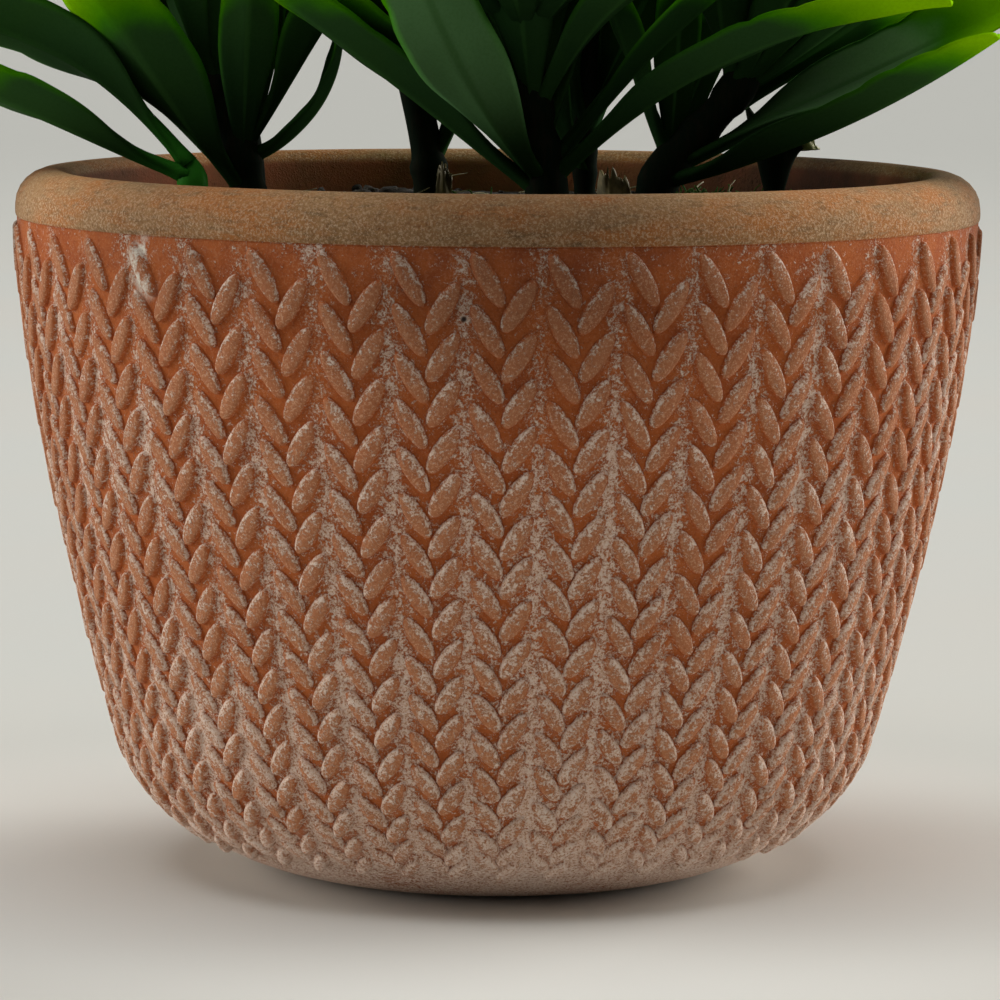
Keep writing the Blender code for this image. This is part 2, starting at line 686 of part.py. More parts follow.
def husk_mesh(foot, azimuth, half, height):
    """A thin bowed scale of dry sheath, standing on the soil."""
    out, side = heading(azimuth, 0), heading(azimuth + 90, 0)
    base = Vector((*foot, 0)) * MM
    base.z = soil_height(base.length, SOIL_BUMP)
    points = []
    for layer in (0, HUSK_THICK):
        for share, wide in HUSK_OUTLINE:
            for across in (-1, 0, 1):
                bow = half * HUSK_BOW * (1 - across * across) + HUSK_LEAN * share
                rise = height * share * (1 - HUSK_SLANT * across)
                shift = side * across * half * wide + out * bow + Vector((0, 0, rise))
                points.append(base + shift * MM + out * layer)
    grid = [[r * 3 + c, r * 3 + c + 1, r * 3 + c + 4, r * 3 + c + 3] for r in range(2) for c in range(2)]
    faces = grid + [[v + 9 for v in reversed(face)] for face in grid]
    edge = [0, 1, 2, 5, 8, 7, 6, 3]
    faces += [[a, b, b + 9, a + 9] for a, b in zip(edge, edge[1:] + edge[:1])]
    return points, faces


def build():
    for obj in list(bpy.data.objects):
        bpy.data.objects.remove(obj)
    terracotta = material("terracotta", TERRACOTTA, 0.9)
    earth = material("soil", SOIL_BROWN, 1.0)
    green = material("leaf", LEAF_GREEN, 0.45)
    dry = material("dry_husk", HUSK_YELLOW, 0.7)
    shoot = cut_shoot_mesh()
    husks = {name: husk_mesh(*size) for name, size in HUSKS.items()}
    build_pot(terracotta)
    standing = [(stem.name, stem.foot, stem.radius, STEM_DEPTH) for stem in STEMS]
    shoot_depth, shoot_half, _ = CUT_SHOOT_STATIONS[0]
    standing.append(("cut_shoot", CUT_SHOOT_FOOT, shoot_half, -shoot_depth))
    build_soil(earth, standing)
    plan = plan_leaves([tree(shoot)] + [tree(mesh) for mesh in husks.values()])
    for stem in STEMS:
        build_leafy_stem(stem, plan[stem.name], green)
    new_object("cut_shoot", *shoot, green)
    for name, mesh in husks.items():
        new_object(name, *mesh, dry)


build()
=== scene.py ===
"""Dresses the potted hoya: fired clay with a moulded braid, strap leaves, soil, moss and husks.

A length times MM is in metres, a length without it is in millimetres, and angles are in degrees. An
azimuth of 0 points along +X and 90 along +Y. The stems and leaves stand where the solid model has them.
"""

import math
import random
from collections import namedtuple

import bmesh
import bpy
import numpy as np
from mathutils import Matrix, Vector, geometry, noise
from mathutils.bvhtree import BVHTree

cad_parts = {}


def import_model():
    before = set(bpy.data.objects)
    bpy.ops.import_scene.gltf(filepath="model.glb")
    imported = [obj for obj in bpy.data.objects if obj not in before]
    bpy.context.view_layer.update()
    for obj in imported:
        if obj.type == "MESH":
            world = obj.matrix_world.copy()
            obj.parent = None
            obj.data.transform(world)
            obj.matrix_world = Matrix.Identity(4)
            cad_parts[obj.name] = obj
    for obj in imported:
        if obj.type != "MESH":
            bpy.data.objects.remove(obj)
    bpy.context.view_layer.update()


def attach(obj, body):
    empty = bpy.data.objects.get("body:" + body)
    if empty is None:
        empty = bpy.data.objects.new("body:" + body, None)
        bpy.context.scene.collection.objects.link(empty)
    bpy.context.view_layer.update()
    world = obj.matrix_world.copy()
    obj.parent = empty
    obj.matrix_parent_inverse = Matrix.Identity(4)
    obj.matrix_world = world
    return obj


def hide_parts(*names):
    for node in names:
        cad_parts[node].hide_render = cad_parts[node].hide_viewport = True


MM = 0.001

# The pot's outer wall, rim and inside
POT_HEIGHT = 124 * MM
RIM_RADIUS = 85 * MM
WALL_TOP = 118 * MM
WALL_TAPER = 25.5 * MM
WALL_CURVE = 1.5
WALL_SAMPLES = 500
FOOT_ROUND = 28 * MM
FOOT_HEIGHT = 24 * MM
RIM_TOP_RADIUS = 79 * MM
RIM_INNER_ROUND = 3 * MM
WALL_THICKNESS = 10 * MM
FLOOR_THICKNESS = 10 * MM
FLOOR_ROUND = 14 * MM
INSIDE_HEIGHTS = [85 * MM, 50 * MM]
DRAIN_HOLES = 3
DRAIN_RADIUS = 4.5 * MM
DRAIN_CIRCLE = 20 * MM

# The braid: columns of paired seeds in a V. Arcs are lengths up the wall from the base, turns are in
# columns. Pairs of lengths, drops and widths are the top row's and the bottom row's, in pitches.
BRAID_COLUMNS = 42
BRAID_ROWS = 16
BRAID_TURN = math.radians(-93.59)
BRAID_TOP = 139 * MM
BRAID_BOTTOM = 25 * MM
FIRST_TIP = 138.3 * MM
FIRST_PITCH = 8.3 * MM
PITCH_DROP = 0.17 * MM
LEFT_SEED = (0.085, 0.5)
RIGHT_SEED = (0.935, 0.505)
LEFT_LENGTH = (1.1, 1.0)
RIGHT_LENGTH = (1.05, 1.0)
RIGHT_DROP = (0.555, 0.5)
SEED_WIDTHS = (0.42, 0.49)
SEED_TILT = 0.15
VALLEY_REACH = 0.3
SEED_STEPS = [0.0, 0.04, 0.13, 0.3, 0.5, 0.7, 0.87, 0.96, 1.0]
SEED_BELLY = 1.06
SEED_ROUND = 2.05
SEED_RINGS = [(0.0, 0.0), (0.2 * MM, 0.52 * MM), (0.44 * MM, 0.82 * MM), (0.85 * MM, 0.98 * MM)]
SEED_RIDGE = 1.02 * MM
SEED_LEAST = 0.1 * MM
TIP_INSET = 1.2
SEED_JITTER = 0.14 * MM
COLUMN_STEPS = 4
SIDES = COLUMN_STEPS * BRAID_COLUMNS
COLUMN_WIDTH = 2 * math.pi * RIM_RADIUS / BRAID_COLUMNS
WALL_STEP = 1.0 * MM
BAND_PROUD = 0.2 * MM
RIM_TURNS = [0, 15, 30, 45, 60, 75, 90]
RIM_INNER_TURNS = [90, 67, 45, 22, 0]
RIM_LEDGE = [(0.15 * MM, -0.1 * MM), (0.4 * MM, 0.12 * MM), (0.8 * MM, 0.24 * MM), (1.6 * MM, 0.24 * MM)]
FOOT_ARCS = [0.0, 4 * MM, 8 * MM, 12 * MM, 16 * MM, 20 * MM]
INSIDE_STEPS = 16
HOLE_SIDES = 24
POT_SEED = 21
LIFT_VARIES = 0.1
POT_WELD = 0.002 * MM
POT_SHARP = 62
PLAIN = 0.5
SMOOTH_DRIFT = 0.3
CAREFUL = 1e-7

# The soil and what stands in it
STEM_BASE = 118.5 * MM
SOIL_EDGE = 116 * MM
SOIL_GAP = 0.5 * MM
SOIL_MOUND = 0.8 * MM
SOIL_SIDES = 144
SOIL_RINGS = 60
SOIL_BUMP = 0.8 * MM
STEM_DEPTH = 30
STEM_SIDES = 6
STEM_BUD = 3
STEM_TAPER = 0.4
STEM_END_SHARES = (0.55, 0.2)
NODE_SWELL = 1.2
NODE_RUN = 4
NODE_SPACING = 2

# The leaves as the solid model has them
LEAF_STATIONS = [0.0, 0.17, 0.38, 0.64, 0.76, 0.88, 0.985]
GROWN_STATIONS = [0.0, 0.2, 0.46, 0.68, 0.86, 0.985]
OUTER_STATION = 1
PETIOLE_HALF = 1.7 * MM
PETIOLE_THICK = 2.3 * MM
BLADE_THICK = 1.4 * MM
BLADE_FULL = 0.38
TIP_START = 0.62
TIP_POWER = 2.6
SCALLOPS = 2
SCALLOP_START = 0.52
SCALLOP_DEPTH = 0.14
SCALLOP_POWER = 0.6
CHANNEL = 19
CHANNEL_FROM = 0.02
CHANNEL_FULL = 0.3
ROLL_FULL = 0.5
THIN_BY = 0.4
ROOT_SHARE = 0.3
SPINE_STEPS = 40
CLEARANCE = 0.5 * MM
RIM_CLEARANCE = 2 * MM
RIM_MARGIN = 3 * MM

# The finer leaves that are shown
SHOWN_STATIONS = 48
SHOWN_ACROSS = [-1.0, -0.84, -0.55, -0.2, 0.0, 0.2, 0.55, 0.84, 1.0]
SHOWN_THICK = 1.05 * MM
SHOWN_MARGIN = 0.12
LOBE_LENGTH = 8 * MM
LOBE_DEPTH = 0.12
LOBE_START = (0.4, 0.58)
LOBE_POWER = 0.5
LAST_STATION = 0.996
STATION_EASE = 1.12
ROUND_PART = (0.08, 0.34)
EDGE_LIFT_POWER = 1.08
FLAT_POWER = 0.6
GROOVE = 0.22 * MM
GROOVE_FADE = 0.4
KEEL = 0.34 * MM
KEEL_LEAST = 0.1 * MM
KEEL_FADES = (0.25, 0.95)
RIPPLE = 0.35 * MM
RIPPLE_TURNS = (2.2, 3.6)
RIPPLE_LAG = 1.7
RIPPLE_FULL = (0.3, 0.6)
FLARE = 0.9 * MM
FLARE_TO = 0.07
WIDEST_STEM = 3.1
SHOWN_STEM_SIDES = 14
SHOWN_STEM_STEP = 1.25
SHOWN_STEM_FOOT = -8
SHOWN_STEM_GAP = 0.4
BUD_SHARE = 0.15
BUD_CLOSING = 4
BUD_TIP = 0.03
STEM_RIBS = 5
RIB_DEPTH = 0.03
COLLAR = 0.24
COLLAR_RUN = 1.5

Stem = namedtuple("Stem", "name foot lean reach knee height radius first_tier seed turn")
Leaf = namedtuple("Leaf", "tier azimuth rise arch length width roll stations")

# Feet in millimetres from the pot's axis. A stem leans towards azimuth lean by reach, half of it at
# height knee. Its grown tiers start at first_tier, turned by turn and varied by seed.
STEMS = [
    Stem("left", (-44, -3), 172, 16, 24, 78, 3.0, 44, 11, 157),
    Stem("side_shoot", (-53.5, -9), 180, 2, 20, 7, 3.0, 99, 12, 204),
    Stem("centre", (8.5, -26), 180, 6, 22, 84, 3.1, 44, 13, 251),
    Stem("right", (27, -6), 0, 29, 20, 78, 3.1, 45, 14, 298),
    Stem("middle", (15.5, 10), 70, 5, 45, 92, 1.9, 30, 15, 345),
    Stem("back_left", (-12.5, 34), 140, 16, 32, 86, 3.0, 25, 16, 32),
    Stem("back_right", (31, 42), 30, 26, 35, 80, 2.6, 20, 17, 79),
    Stem("left_back", (-45, 26), 150, 14, 35, 78, 2.8, 18, 18, 126),
]

# The lower leaves of the front stems: tier height, length and width are in millimetres. A leaf starts
# off at rise and is bent by arch by its tip, and its blade is rolled about its own length by roll.
SEEN_LEAVES = {
    "side_shoot": [
        (4.5, 184, 21, 4, 68, 15.5, -30),
        (6, 168, 52, -60, 72, 18, -46),
    ],
    "left": [
        (1, 208, 46, 16, 72, 18, -42),
        (7.5, 5, 16, 80, 32, 9, 0),
        (8.5, 12, 56, 2, 60, 18.5, 35),
        (6.5, 55, 70, 0, 60, 12, 0),
        (7, 305, 70, -10, 58, 11, 10),
        (20, 352, 62, -6, 60, 13, -45),
        (20, 75, 70, 0, 60, 11, 0),
        (20, 215, 62, -18, 62, 13, 0),
        (20, 290, 62, -20, 58, 12, 0),
        (31, 205, 34, -16, 74, 15, 0),
    ],
    "centre": [
        (4.5, 228, 36, 40, 78, 16, -48),
        (2.5, 187, 37, -2, 84, 14.5, -25),
        (4.5, 345, 44, -40, 78, 13, 24),
        (8.5, 172, 33, 8, 80, 15, -25),
        (6.5, 12, 52, -24, 74, 13, 25),
        (11, 38, 70, -4, 60, 12, 0),
        (16.5, 222, 69, 0, 68, 14, -30),
        (16.5, 352, 62, -72, 70, 12, 20),
        (17.5, 170, 58, -6, 70, 13, -25),
        (17, 80, 70, 0, 64, 12, 0),
        (30, 262, 30, -14, 84, 16, 0),
        (30, 222, 36, -12, 78, 15, 0),
        (30, 305, 34, -14, 80, 15, 0),
    ],
    "right": [
        (6, 349, 25, 2, 82, 16, -38),
        (4, 335, 12, 22, 68, 15, 12),
        (12.5, 8, 31, -2, 74, 15, -32),
        (7, 42, 58, -6, 60, 11, 0),
        (7.5, 165, 66, 8, 50, 9, -50),
        (7.5, 100, 78, 0, 52, 9, 0),
        (19.5, 4, 34, -2, 70, 13, 20),
        (20.5, 348, 42, -14, 62, 13, 10),
        (19.5, 44, 52, -8, 64, 12, 0),
        (20, 165, 66, -6, 56, 13, -50),
        (20, 312, 52, -14, 60, 12, 0),
        (32, 285, 34, -16, 76, 15, 0),
    ],
    "middle": [
        (4.5, 205, 60, 0, 66, 14, -55),
        (8, 90, 74, 0, 60, 15, 0),
        (13, 150, 72, 0, 58, 13, -60),
        (11, 12, 66, 0, 64, 15, -55),
    ],
    "back_left": [
        (4, 20, 62, 0, 60, 12, -40),
    ],
}

# How the unseen tiers grow, from low to high on a stem, and how far a leaf may turn and lift for room
TIER_SPACING = 16
TIER_LEAVES = (4, 3)
FULL_TIERS_BELOW = 48
TIER_TURN = 62
LOW_RISE = 34
HIGH_RISE = 72
LOW_LENGTH = 72
HIGH_LENGTH = 46
GROWN_WIDTHS = (12, 15)
GROWN_ARCHES = (-26, 2)
GROWN_ROLL = 14
GROWN_TURN_VARIES = 12
GROWN_RISE_VARIES = 5
GROWN_LENGTH_VARIES = 4
TURNS = [0, 5, -5, 10, -10, 17, -17, 26, -26, 38, -38, 52, -52]
LIFTS = [0, 5, -5, 12]

# The cut shoot and the dry husks, as the solid model has them
CUT_SHOOT_FOOT = (50, 20)
CUT_SHOOT_STATIONS = [(-10, 1.6, 1.5), (0, 1.6, 1.5), (6, 3.2, 2.2), (12.5, 5.4, 2.6)]
CUT_SHOOT_SLANT = 3.5
CUT_SHOOT_SIDES = 9
CUT_SHOOT_SEED = 3
CUT_SHOOT_RAGGED = 0.7
CUT_SHOOT_HOLLOW = 1.5
HUSKS = {"husk_right": ((21, 2), 250, 3.6, 6.5), "husk_left": ((-10, 22), 285, 1.6, 6)}
HUSK_THICK = 0.9 * MM
HUSK_OUTLINE = [(0, 0.8), (0.55, 1.0), (1, 0.45)]
HUSK_BOW = 0.4
HUSK_LEAN = 1.5
HUSK_SLANT = 0.15
HUSK_COLUMNS = 22
HUSK_ROWS = 12
HUSK_SHEET = 0.35 * MM
HUSK_CURL = 0.35
HUSK_TORN = (-0.14, 0.05)
HUSK_TATTER = 0.2
TATTER_CHANCE = 0.2
SHOOT_SHOWN_SIDES = 40
SHOOT_SHOWN_LEVELS = 20
SHOOT_RIBS = 9
SHOOT_RIB_DEPTH = 0.035
SHOOT_LIPS = [(0.8, 0.3), (0.55, 1.0), (0.2, 1.5)]

# Loose things on the soil, in millimetres. A moss patch is x, y, spread, number of strands and height.
# The heap of crumbs is x, y and its reach both ways. A layer of the soil's lumps is a level through the
# noise, its scale and its share.
SOIL_LUMPS = [(0.3, 190, 0.9), (4.3, 520, 0.6)]
CRUMB_SEED = 8
CRUMBS = 300
CRUMB_SIZES = [0.5, 0.7, 0.9, 1.2]
CRUMB_VARIES = (0.7, 1.2)
CRUMB_SQUASH = [(0.7, 1.3), (0.7, 1.3), (0.5, 0.9)]
CRUMB_PUSH = 0.45
CRUMB_LUMPS = 1.6
CRUMB_RAISED = 0.25
HEAP = (-17, 44, 9, 4)
HEAP_CRUMBS = 60
HEAP_GROWS = 1.4
STRAND_END = 0.35
STRAND_TURN = 40
STRAND_SWERVE = 18
STRAND_SINK = (-22, 20)
ASLANT = Vector((0.31, 0.2, 0.93))
MOSS_SEED = 4
MOSS_PATCHES = [(36, 20, 8, 120, 1.5), (46, 32, 6, 30, 1.0), (-6, 27, 4, 10, 0.6)]
MOSS_LENGTHS = (2.2, 5.0)
MOSS_THICK = (0.13, 0.26)
MOSS_STEPS = 7
FIBRE_SEED = 6
FIBRES = 30
FIBRE_SPREAD = 62
FIBRE_LENGTHS = (8, 20)
FIBRE_THICK = (0.1, 0.2)
FIBRE_STEPS = 12
FIBRE_LIFT = 0.35
SCRAP_SEED = 9
SCRAP_FOOT = (53.4, 19.5, 126.6)
SCRAP_ROWS = 8
SCRAP_COLUMNS = 18
SCRAP_WIDTH = 4.4
SCRAP_HEIGHT = 2.6
SCRAP_TORN = (-0.9, 0.7)
SCRAP_THICK = 0.25 * MM

# Two leaves painted paler and greyer than the rest, by stem and place in its list: partly the paler back
# of a blade, partly painted sheen on broad faces that catch the light
PALE_SHEEN_LEAVES = {("centre", 0): 1.0, ("right", 0): 2.0}

# Leaves whose tips stay green for longer than a leaf's own tone says, in the same way
LATE_LEAVES = {("left", 1): -4.0, ("centre", 2): -0.35, ("right", 1): -1.6, ("side_shoot", 1): -0.75}

# Colours
SEED_BROWN = (0.41, 0.135, 0.055, 1)
SEED_TAN = (0.47, 0.185, 0.085, 1)
HOLLOW_ORANGE = (0.47, 0.12, 0.028, 1)
HOLLOW_RUST = (0.38, 0.085, 0.02, 1)
PINHOLE = (0.24, 0.075, 0.03, 1)
LIME = (0.83, 0.7, 0.61, 1)
GRIT = (0.72, 0.43, 0.265, 1)
WALL_FLECKS = (0.55, 0.42, 0.36, 1)
RIM_FLECKS = (0.6, 0.48, 0.38, 1)
BLEACHED = (0.62, 0.25, 0.11, 1)
FOOT_RUST = (0.5, 0.15, 0.05, 1)
FOOT_LIME = (0.93, 0.77, 0.68, 1)
RIM_TAN = (0.37, 0.2, 0.085, 1)
RIM_ORANGE = (0.46, 0.17, 0.044, 1)
RIM_PALE = (0.68, 0.47, 0.3, 1)
RIM_UMBER = (0.2, 0.12, 0.055, 1)
INSIDE_RED = (0.33, 0.1, 0.04, 1)
INSIDE_BROWN = (0.23, 0.09, 0.036, 1)
# Painted shade: a grey multiplied into the clay where leaves shade the rim's front and the inside; the
# spot at the back right of the inside is darker for damp clay as well. A spot is its centre, radius and
# soft edge in millimetres, and how dark it gets.
SHADE_GREY = (0.34, 0.33, 0.32, 1)
PAINTED_SHADE_SPOTS = [
    ((3, -85, 118), 5, 56, 0.75),
    ((-76, 14, 121), 18, 24, 0.7),
    ((74, 18, 121), 30, 26, 0.85),
    ((-55, -64, 121), 6, 34, 0.5),
    ((52, 54, 112), 20, 16, 0.9),
]
PAINTED_SHADE_SQUEEZE = 1.5
PLASTER = (0.7, 0.64, 0.55, 1)
PLASTER_SEEN = (-58.6 * MM, -61.4 * MM, 66.3 * MM)
# A pit's painted shade: a dark spot where the mesh has no hollow
PIT_PAINTED_SHADE = (0.02, 0.012, 0.01, 1)
PIT_SPOT = (-5.4 * MM, -84.2 * MM, 104 * MM)
LEAF_DARK = (0.006, 0.02, 0.005, 1)
LEAF_MID = (0.011, 0.042, 0.007, 1)
LEAF_WARM = (0.03, 0.085, 0.012, 1)
BACK_DARK = (0.014, 0.042, 0.013, 1)
BACK_MID = (0.026, 0.076, 0.021, 1)
VEIN_GREEN = (0.045, 0.13, 0.03, 1)
# Yellowing tips, brightened as painted back-light through the thin blade
BACKLIT_TIP_GREEN = (0.05, 0.24, 0.001, 1)
BACKLIT_TIP_YELLOW = (0.26, 0.58, 0.001, 1)
# The two pale leaves: partly the paler back of a blade, partly painted sheen
PALE_SHEEN_GREEN = (0.1, 0.225, 0.085, 1)
GREY_SHEEN_GREEN = (0.27, 0.5, 0.23, 1)
LEAF_FLECKS = (0.6, 0.66, 0.55, 1)
STEM_GREEN = (0.006, 0.011, 0.006, 1)
STEM_BROWN = (0.012, 0.012, 0.007, 1)
FRESH_GREEN = (0.035, 0.2, 0.02, 1)
SOIL_BLACK = (0.012, 0.009, 0.007, 1)
SOIL_BROWN = (0.035, 0.024, 0.016, 1)
SOIL_PALE = (0.09, 0.07, 0.05, 1)
MOSS_GREEN = (0.035, 0.11, 0.02, 1)
MOSS_YELLOW = (0.075, 0.13, 0.02, 1)
MOSS_FLECKS = (0.4, 0.45, 0.4, 1)
HUSK_DULL = (0.12, 0.095, 0.03, 1)
HUSK_BRIGHT = (0.27, 0.21, 0.08, 1)
HUSK_FLECKS = (0.6, 0.55, 0.4, 1)
FIBRE_DULL = (0.2, 0.16, 0.08, 1)
FIBRE_BRIGHT = (0.42, 0.37, 0.22, 1)
SCRAP_DULL = (0.3, 0.28, 0.11, 1)
SCRAP_BRIGHT = (0.62, 0.58, 0.36, 1)
FLOOR_COOL = (0.575, 0.58, 0.545, 1)
FLOOR_WARM = (0.595, 0.575, 0.53, 1)
# Painted light: a paler pool on the floor round the pot, fading out between these radii
FLOOR_PAINTED_POOL = (0.65, 0.645, 0.605, 1)
FLOOR_PAINTED_POOL_RADII = (110 * MM, 170 * MM)
# Painted shade: the floor darkens between these radii, standing in for light that falls off with distance
FLOOR_PAINTED_FALLOFF = (0.46, 0.46, 0.43, 1)
FLOOR_FALLOFF_RADII = (500 * MM, 2900 * MM)

# The noises in the finishes: scale, detail and roughness
CLAY_SPECK = (2500, 2, 0.75)
CLAY_COARSE_SPECK = (850, 2, 0.6)
CLAY_FLECK = (1500, 2, 0.6)
CLAY_BLOTCH = (42, 3, 0.55)
CLAY_PATCH = (150, 3, 0.6)
CLAY_GRIT = (2300, 3, 0.8)
FOOT_STAIN = (330, 3, 0.65)
RIM_STREAK = (55, 4, 0.6)
RIM_BRUSHED = (210, 3, 0.65)
LEAF_CLOUD = (70, 3, 0.5)
LEAF_FINE = (1900, 2, 0.6)
STEM_FINE = (900, 2, 0.6)
SOIL_LUMP = (420, 4, 0.65)
SOIL_DUST = (1500, 2, 0.6)
MOSS_FINE = (900, 2, 0.5)
HUSK_VEIN = (1300, 2, 0.5)
HUSK_STAIN = (260, 3, 0.6)
FLOOR_CLOUD = (3.2, 3, 0.5)
FLOOR_FIBRE = (420, 3, 0.6)

# The stage. Each light is its name, where it comes from, how wide it looks in degrees, its strength and
# its colour.
FLOOR_REACH = 30000 * MM
LIGHTS = [
    ("left_light", (-0.966, 0.17, 0.15), 48, 2.7, (1, 1, 0.97)),
    ("right_light", (0.839, 0.5, 0.21), 48, 3.7, (1, 0.98, 0.94)),
    ("top_light", (-0.05, -0.13, 1), 56, 1.85, (1, 1, 1)),
]
SURROUNDINGS = (0.97, 0.98, 0.94, 1)
SURROUNDINGS_LIGHT = 0.08
CAMERA_LENS = 188.4
CAMERA_SENSOR = 36
CAMERA_NEAR = 10 * MM
CAMERA_SHIFT = 0.0042
CAMERA_PITCH = 6.524
CAMERA_AIM = 65.1 * MM
CAMERA_DISTANCE = 933.7 * MM
CAMERA_ROLL = 0.3887


def smooth(value, low, high):
    t = min(1.0, max(0.0, (value - low) / (high - low)))
    return t * t * (3 - 2 * t)


def heading(azimuth, rise):
    a, e = math.radians(azimuth), math.radians(rise)
    return Vector((math.cos(a) * math.cos(e), math.sin(a) * math.cos(e), math.sin(e)))


def wall_radius(z):
    """The radius of the pot's outer wall, without its braid, at height z."""
    taper = WALL_TAPER * max(0.0, 1 - z / WALL_TOP) ** WALL_CURVE
    foot = max(0.0, 1 - z / FOOT_HEIGHT)
    return RIM_RADIUS - taper - FOOT_ROUND * (1 - math.sqrt(1 - foot * foot))


WALL_HEIGHTS = WALL_TOP * np.linspace(0, 1, WALL_SAMPLES) ** 2
WALL_RADII = np.array([wall_radius(z) for z in WALL_HEIGHTS])
WALL_ARCS = np.concatenate([[0], np.cumsum(np.hypot(np.diff(WALL_HEIGHTS), np.diff(WALL_RADII)))])
INSIDE_TOP = (RIM_RADIUS - WALL_THICKNESS, POT_HEIGHT - RIM_INNER_ROUND)


def wall_profile(arc):
    """(radius, z) on the outer wall at a distance arc up it from the base."""
    return np.interp(arc, WALL_ARCS, WALL_RADII), np.interp(arc, WALL_ARCS, WALL_HEIGHTS)


def ring(radius, z, sides, start=0.0):
    turns = [start + 2 * math.pi * k / sides for k in range(sides)]
    return [Vector((radius * math.cos(a), radius * math.sin(a), z)) for a in turns]


def band(start, sides):
    """The faces between ring number start and the next, in a list of rings laid end to end."""
    low = start * sides
    corners = [(low + k, low + (k + 1) % sides) for k in range(sides)]
    return [[a, b, b + sides, a + sides] for a, b in corners]


def tube_faces(rings, sides):
    """The faces of a closed tube of that many rings, with both its ends."""
    faces = [face for k in range(rings - 1) for face in band(k, sides)]
    return faces + [list(range(sides)), list(range(rings * sides - sides, rings * sides))]


def inside_profile(top, gap=0.0):
    """(radius, z) down the pot's inner wall from height top and on to its floor, gap inside it."""
    wall = [INSIDE_TOP] + [(wall_radius(z) - WALL_THICKNESS, z) for z in INSIDE_HEIGHTS]
    corner = wall_radius(FLOOR_THICKNESS + FLOOR_ROUND) - WALL_THICKNESS
    bend = [
        (corner - FLOOR_ROUND * (1 - math.cos(a)), FLOOR_THICKNESS + FLOOR_ROUND * (1 - math.sin(a)))
        for a in (0, math.pi / 4, math.pi / 2)
    ]
    profile = wall + bend
    radii, heights = [r for r, _ in reversed(profile)], [z for _, z in reversed(profile)]
    below = [(r, z) for r, z in profile if z < top]
    floor = FLOOR_THICKNESS + gap
    return [(np.interp(top, heights, radii) - gap, top)] + [(r - gap, max(z, floor)) for r, z in below]


def soil_height(radius, bump=0.0):
    inner = inside_profile(SOIL_EDGE, SOIL_GAP)[0][0]
    return SOIL_EDGE + SOIL_MOUND * (1 - (radius / inner) ** 2) + bump


def stem_point(stem, height):
    """The stem's axis at a height in millimetres above its base; below it the stem is plumb."""
    h = max(0.0, height)
    lean = heading(stem.lean, 0) * stem.reach * h * h / (h * h + stem.knee * stem.knee)
    return Vector((stem.foot[0] + lean.x, stem.foot[1] + lean.y, STEM_BASE / MM + height)) * MM


def seen_leaves(stem):
    return [Leaf(*values, LEAF_STATIONS) for values in SEEN_LEAVES.get(stem.name, [])]


def stem_tiers(stem):
    heights = sorted({leaf.tier for leaf in seen_leaves(stem)})
    height = stem.first_tier
    while height < stem.height - NODE_RUN:
        heights.append(height)
        height += TIER_SPACING
    return heights


def stem_frame(stem, height):
    """The stem's axis at that height, and two directions square to it."""
    direction = (stem_point(stem, height + 1) - stem_point(stem, height - 1)).normalized()
    side = Vector((0, 1, 0)).cross(direction).normalized()
    return stem_point(stem, height), side, direction.cross(side)


def stem_mesh(stem):
    """A tube round the axis, swollen a little at each tier and drawn to a bud at the top."""
    stations = [(-STEM_DEPTH, stem.radius), (0, stem.radius)]
    for tier in stem_tiers(stem):
        share = 1 - STEM_TAPER * tier / stem.height
        if tier - stations[-1][0] > NODE_RUN + NODE_SPACING:
            stations.append((tier - NODE_RUN, stem.radius * share))
        if tier - stations[-1][0] > NODE_SPACING:
            stations.append((tier, stem.radius * share * NODE_SWELL))
    shoulder, tip = STEM_END_SHARES
    stations += [(stem.height - 1, stem.radius * shoulder), (stem.height + STEM_BUD, stem.radius * tip)]
    points = []
    for height, radius in stations:
        centre, side, front = stem_frame(stem, height)
        for k in range(STEM_SIDES):
            a = 2 * math.pi * k / STEM_SIDES
            points.append(centre + (side * math.cos(a) + front * math.sin(a)) * radius * MM)
    return points, tube_faces(len(stations), STEM_SIDES)


def strap_half_width(leaf, u):
    """Half the blade's width at share u of its length: narrow foot, broad strap, round tip."""
    body = PETIOLE_HALF + (leaf.width * MM / 2 - PETIOLE_HALF) * smooth(u, 0, BLADE_FULL)
    over = max(0.0, (u - TIP_START) / (1 - TIP_START))
    return body * (1 - over**TIP_POWER) ** (1 / TIP_POWER)


def half_width(leaf, u):
    """The same, with the solid leaf's scallops."""
    lobe = max(0.0, (u - SCALLOP_START) / (1 - SCALLOP_START) * SCALLOPS) % 1
    notch = 0.0 if u < SCALLOP_START else SCALLOP_DEPTH * (1 - math.sin(math.pi * lobe) ** SCALLOP_POWER)
    return strap_half_width(leaf, u) * (1 - notch)


def spine(stem, leaf):
    """The blade's middle line, worked out step by step from its root on the stem's axis."""
    start = heading(leaf.azimuth, leaf.rise) * stem.radius * ROOT_SHARE * MM
    point = stem_point(stem, leaf.tier) + start
    line = [point]
    for step in range(SPINE_STEPS):
        u = (step + 0.5) / SPINE_STEPS
        point = point + heading(leaf.azimuth, leaf.rise + leaf.arch * u) * leaf.length * MM / SPINE_STEPS
        line.append(point)
    return line


def blade_frame(line, leaf, u):
    """At share u of the blade's length: its middle, its directions across and up, and its fold."""
    at = u * SPINE_STEPS
    low = min(int(at), SPINE_STEPS - 1)
    centre = line[low].lerp(line[low + 1], at - low)
    along = heading(leaf.azimuth, leaf.rise + leaf.arch * u)
    side = heading(leaf.azimuth - 90, 0)
    up = side.cross(along)
    roll = math.radians(leaf.roll) * smooth(u, 0, ROLL_FULL)
    side, up = side * math.cos(roll) + up * math.sin(roll), up * math.cos(roll) - side * math.sin(roll)
    return centre, side, up, math.radians(CHANNEL) * smooth(u, CHANNEL_FROM, CHANNEL_FULL)


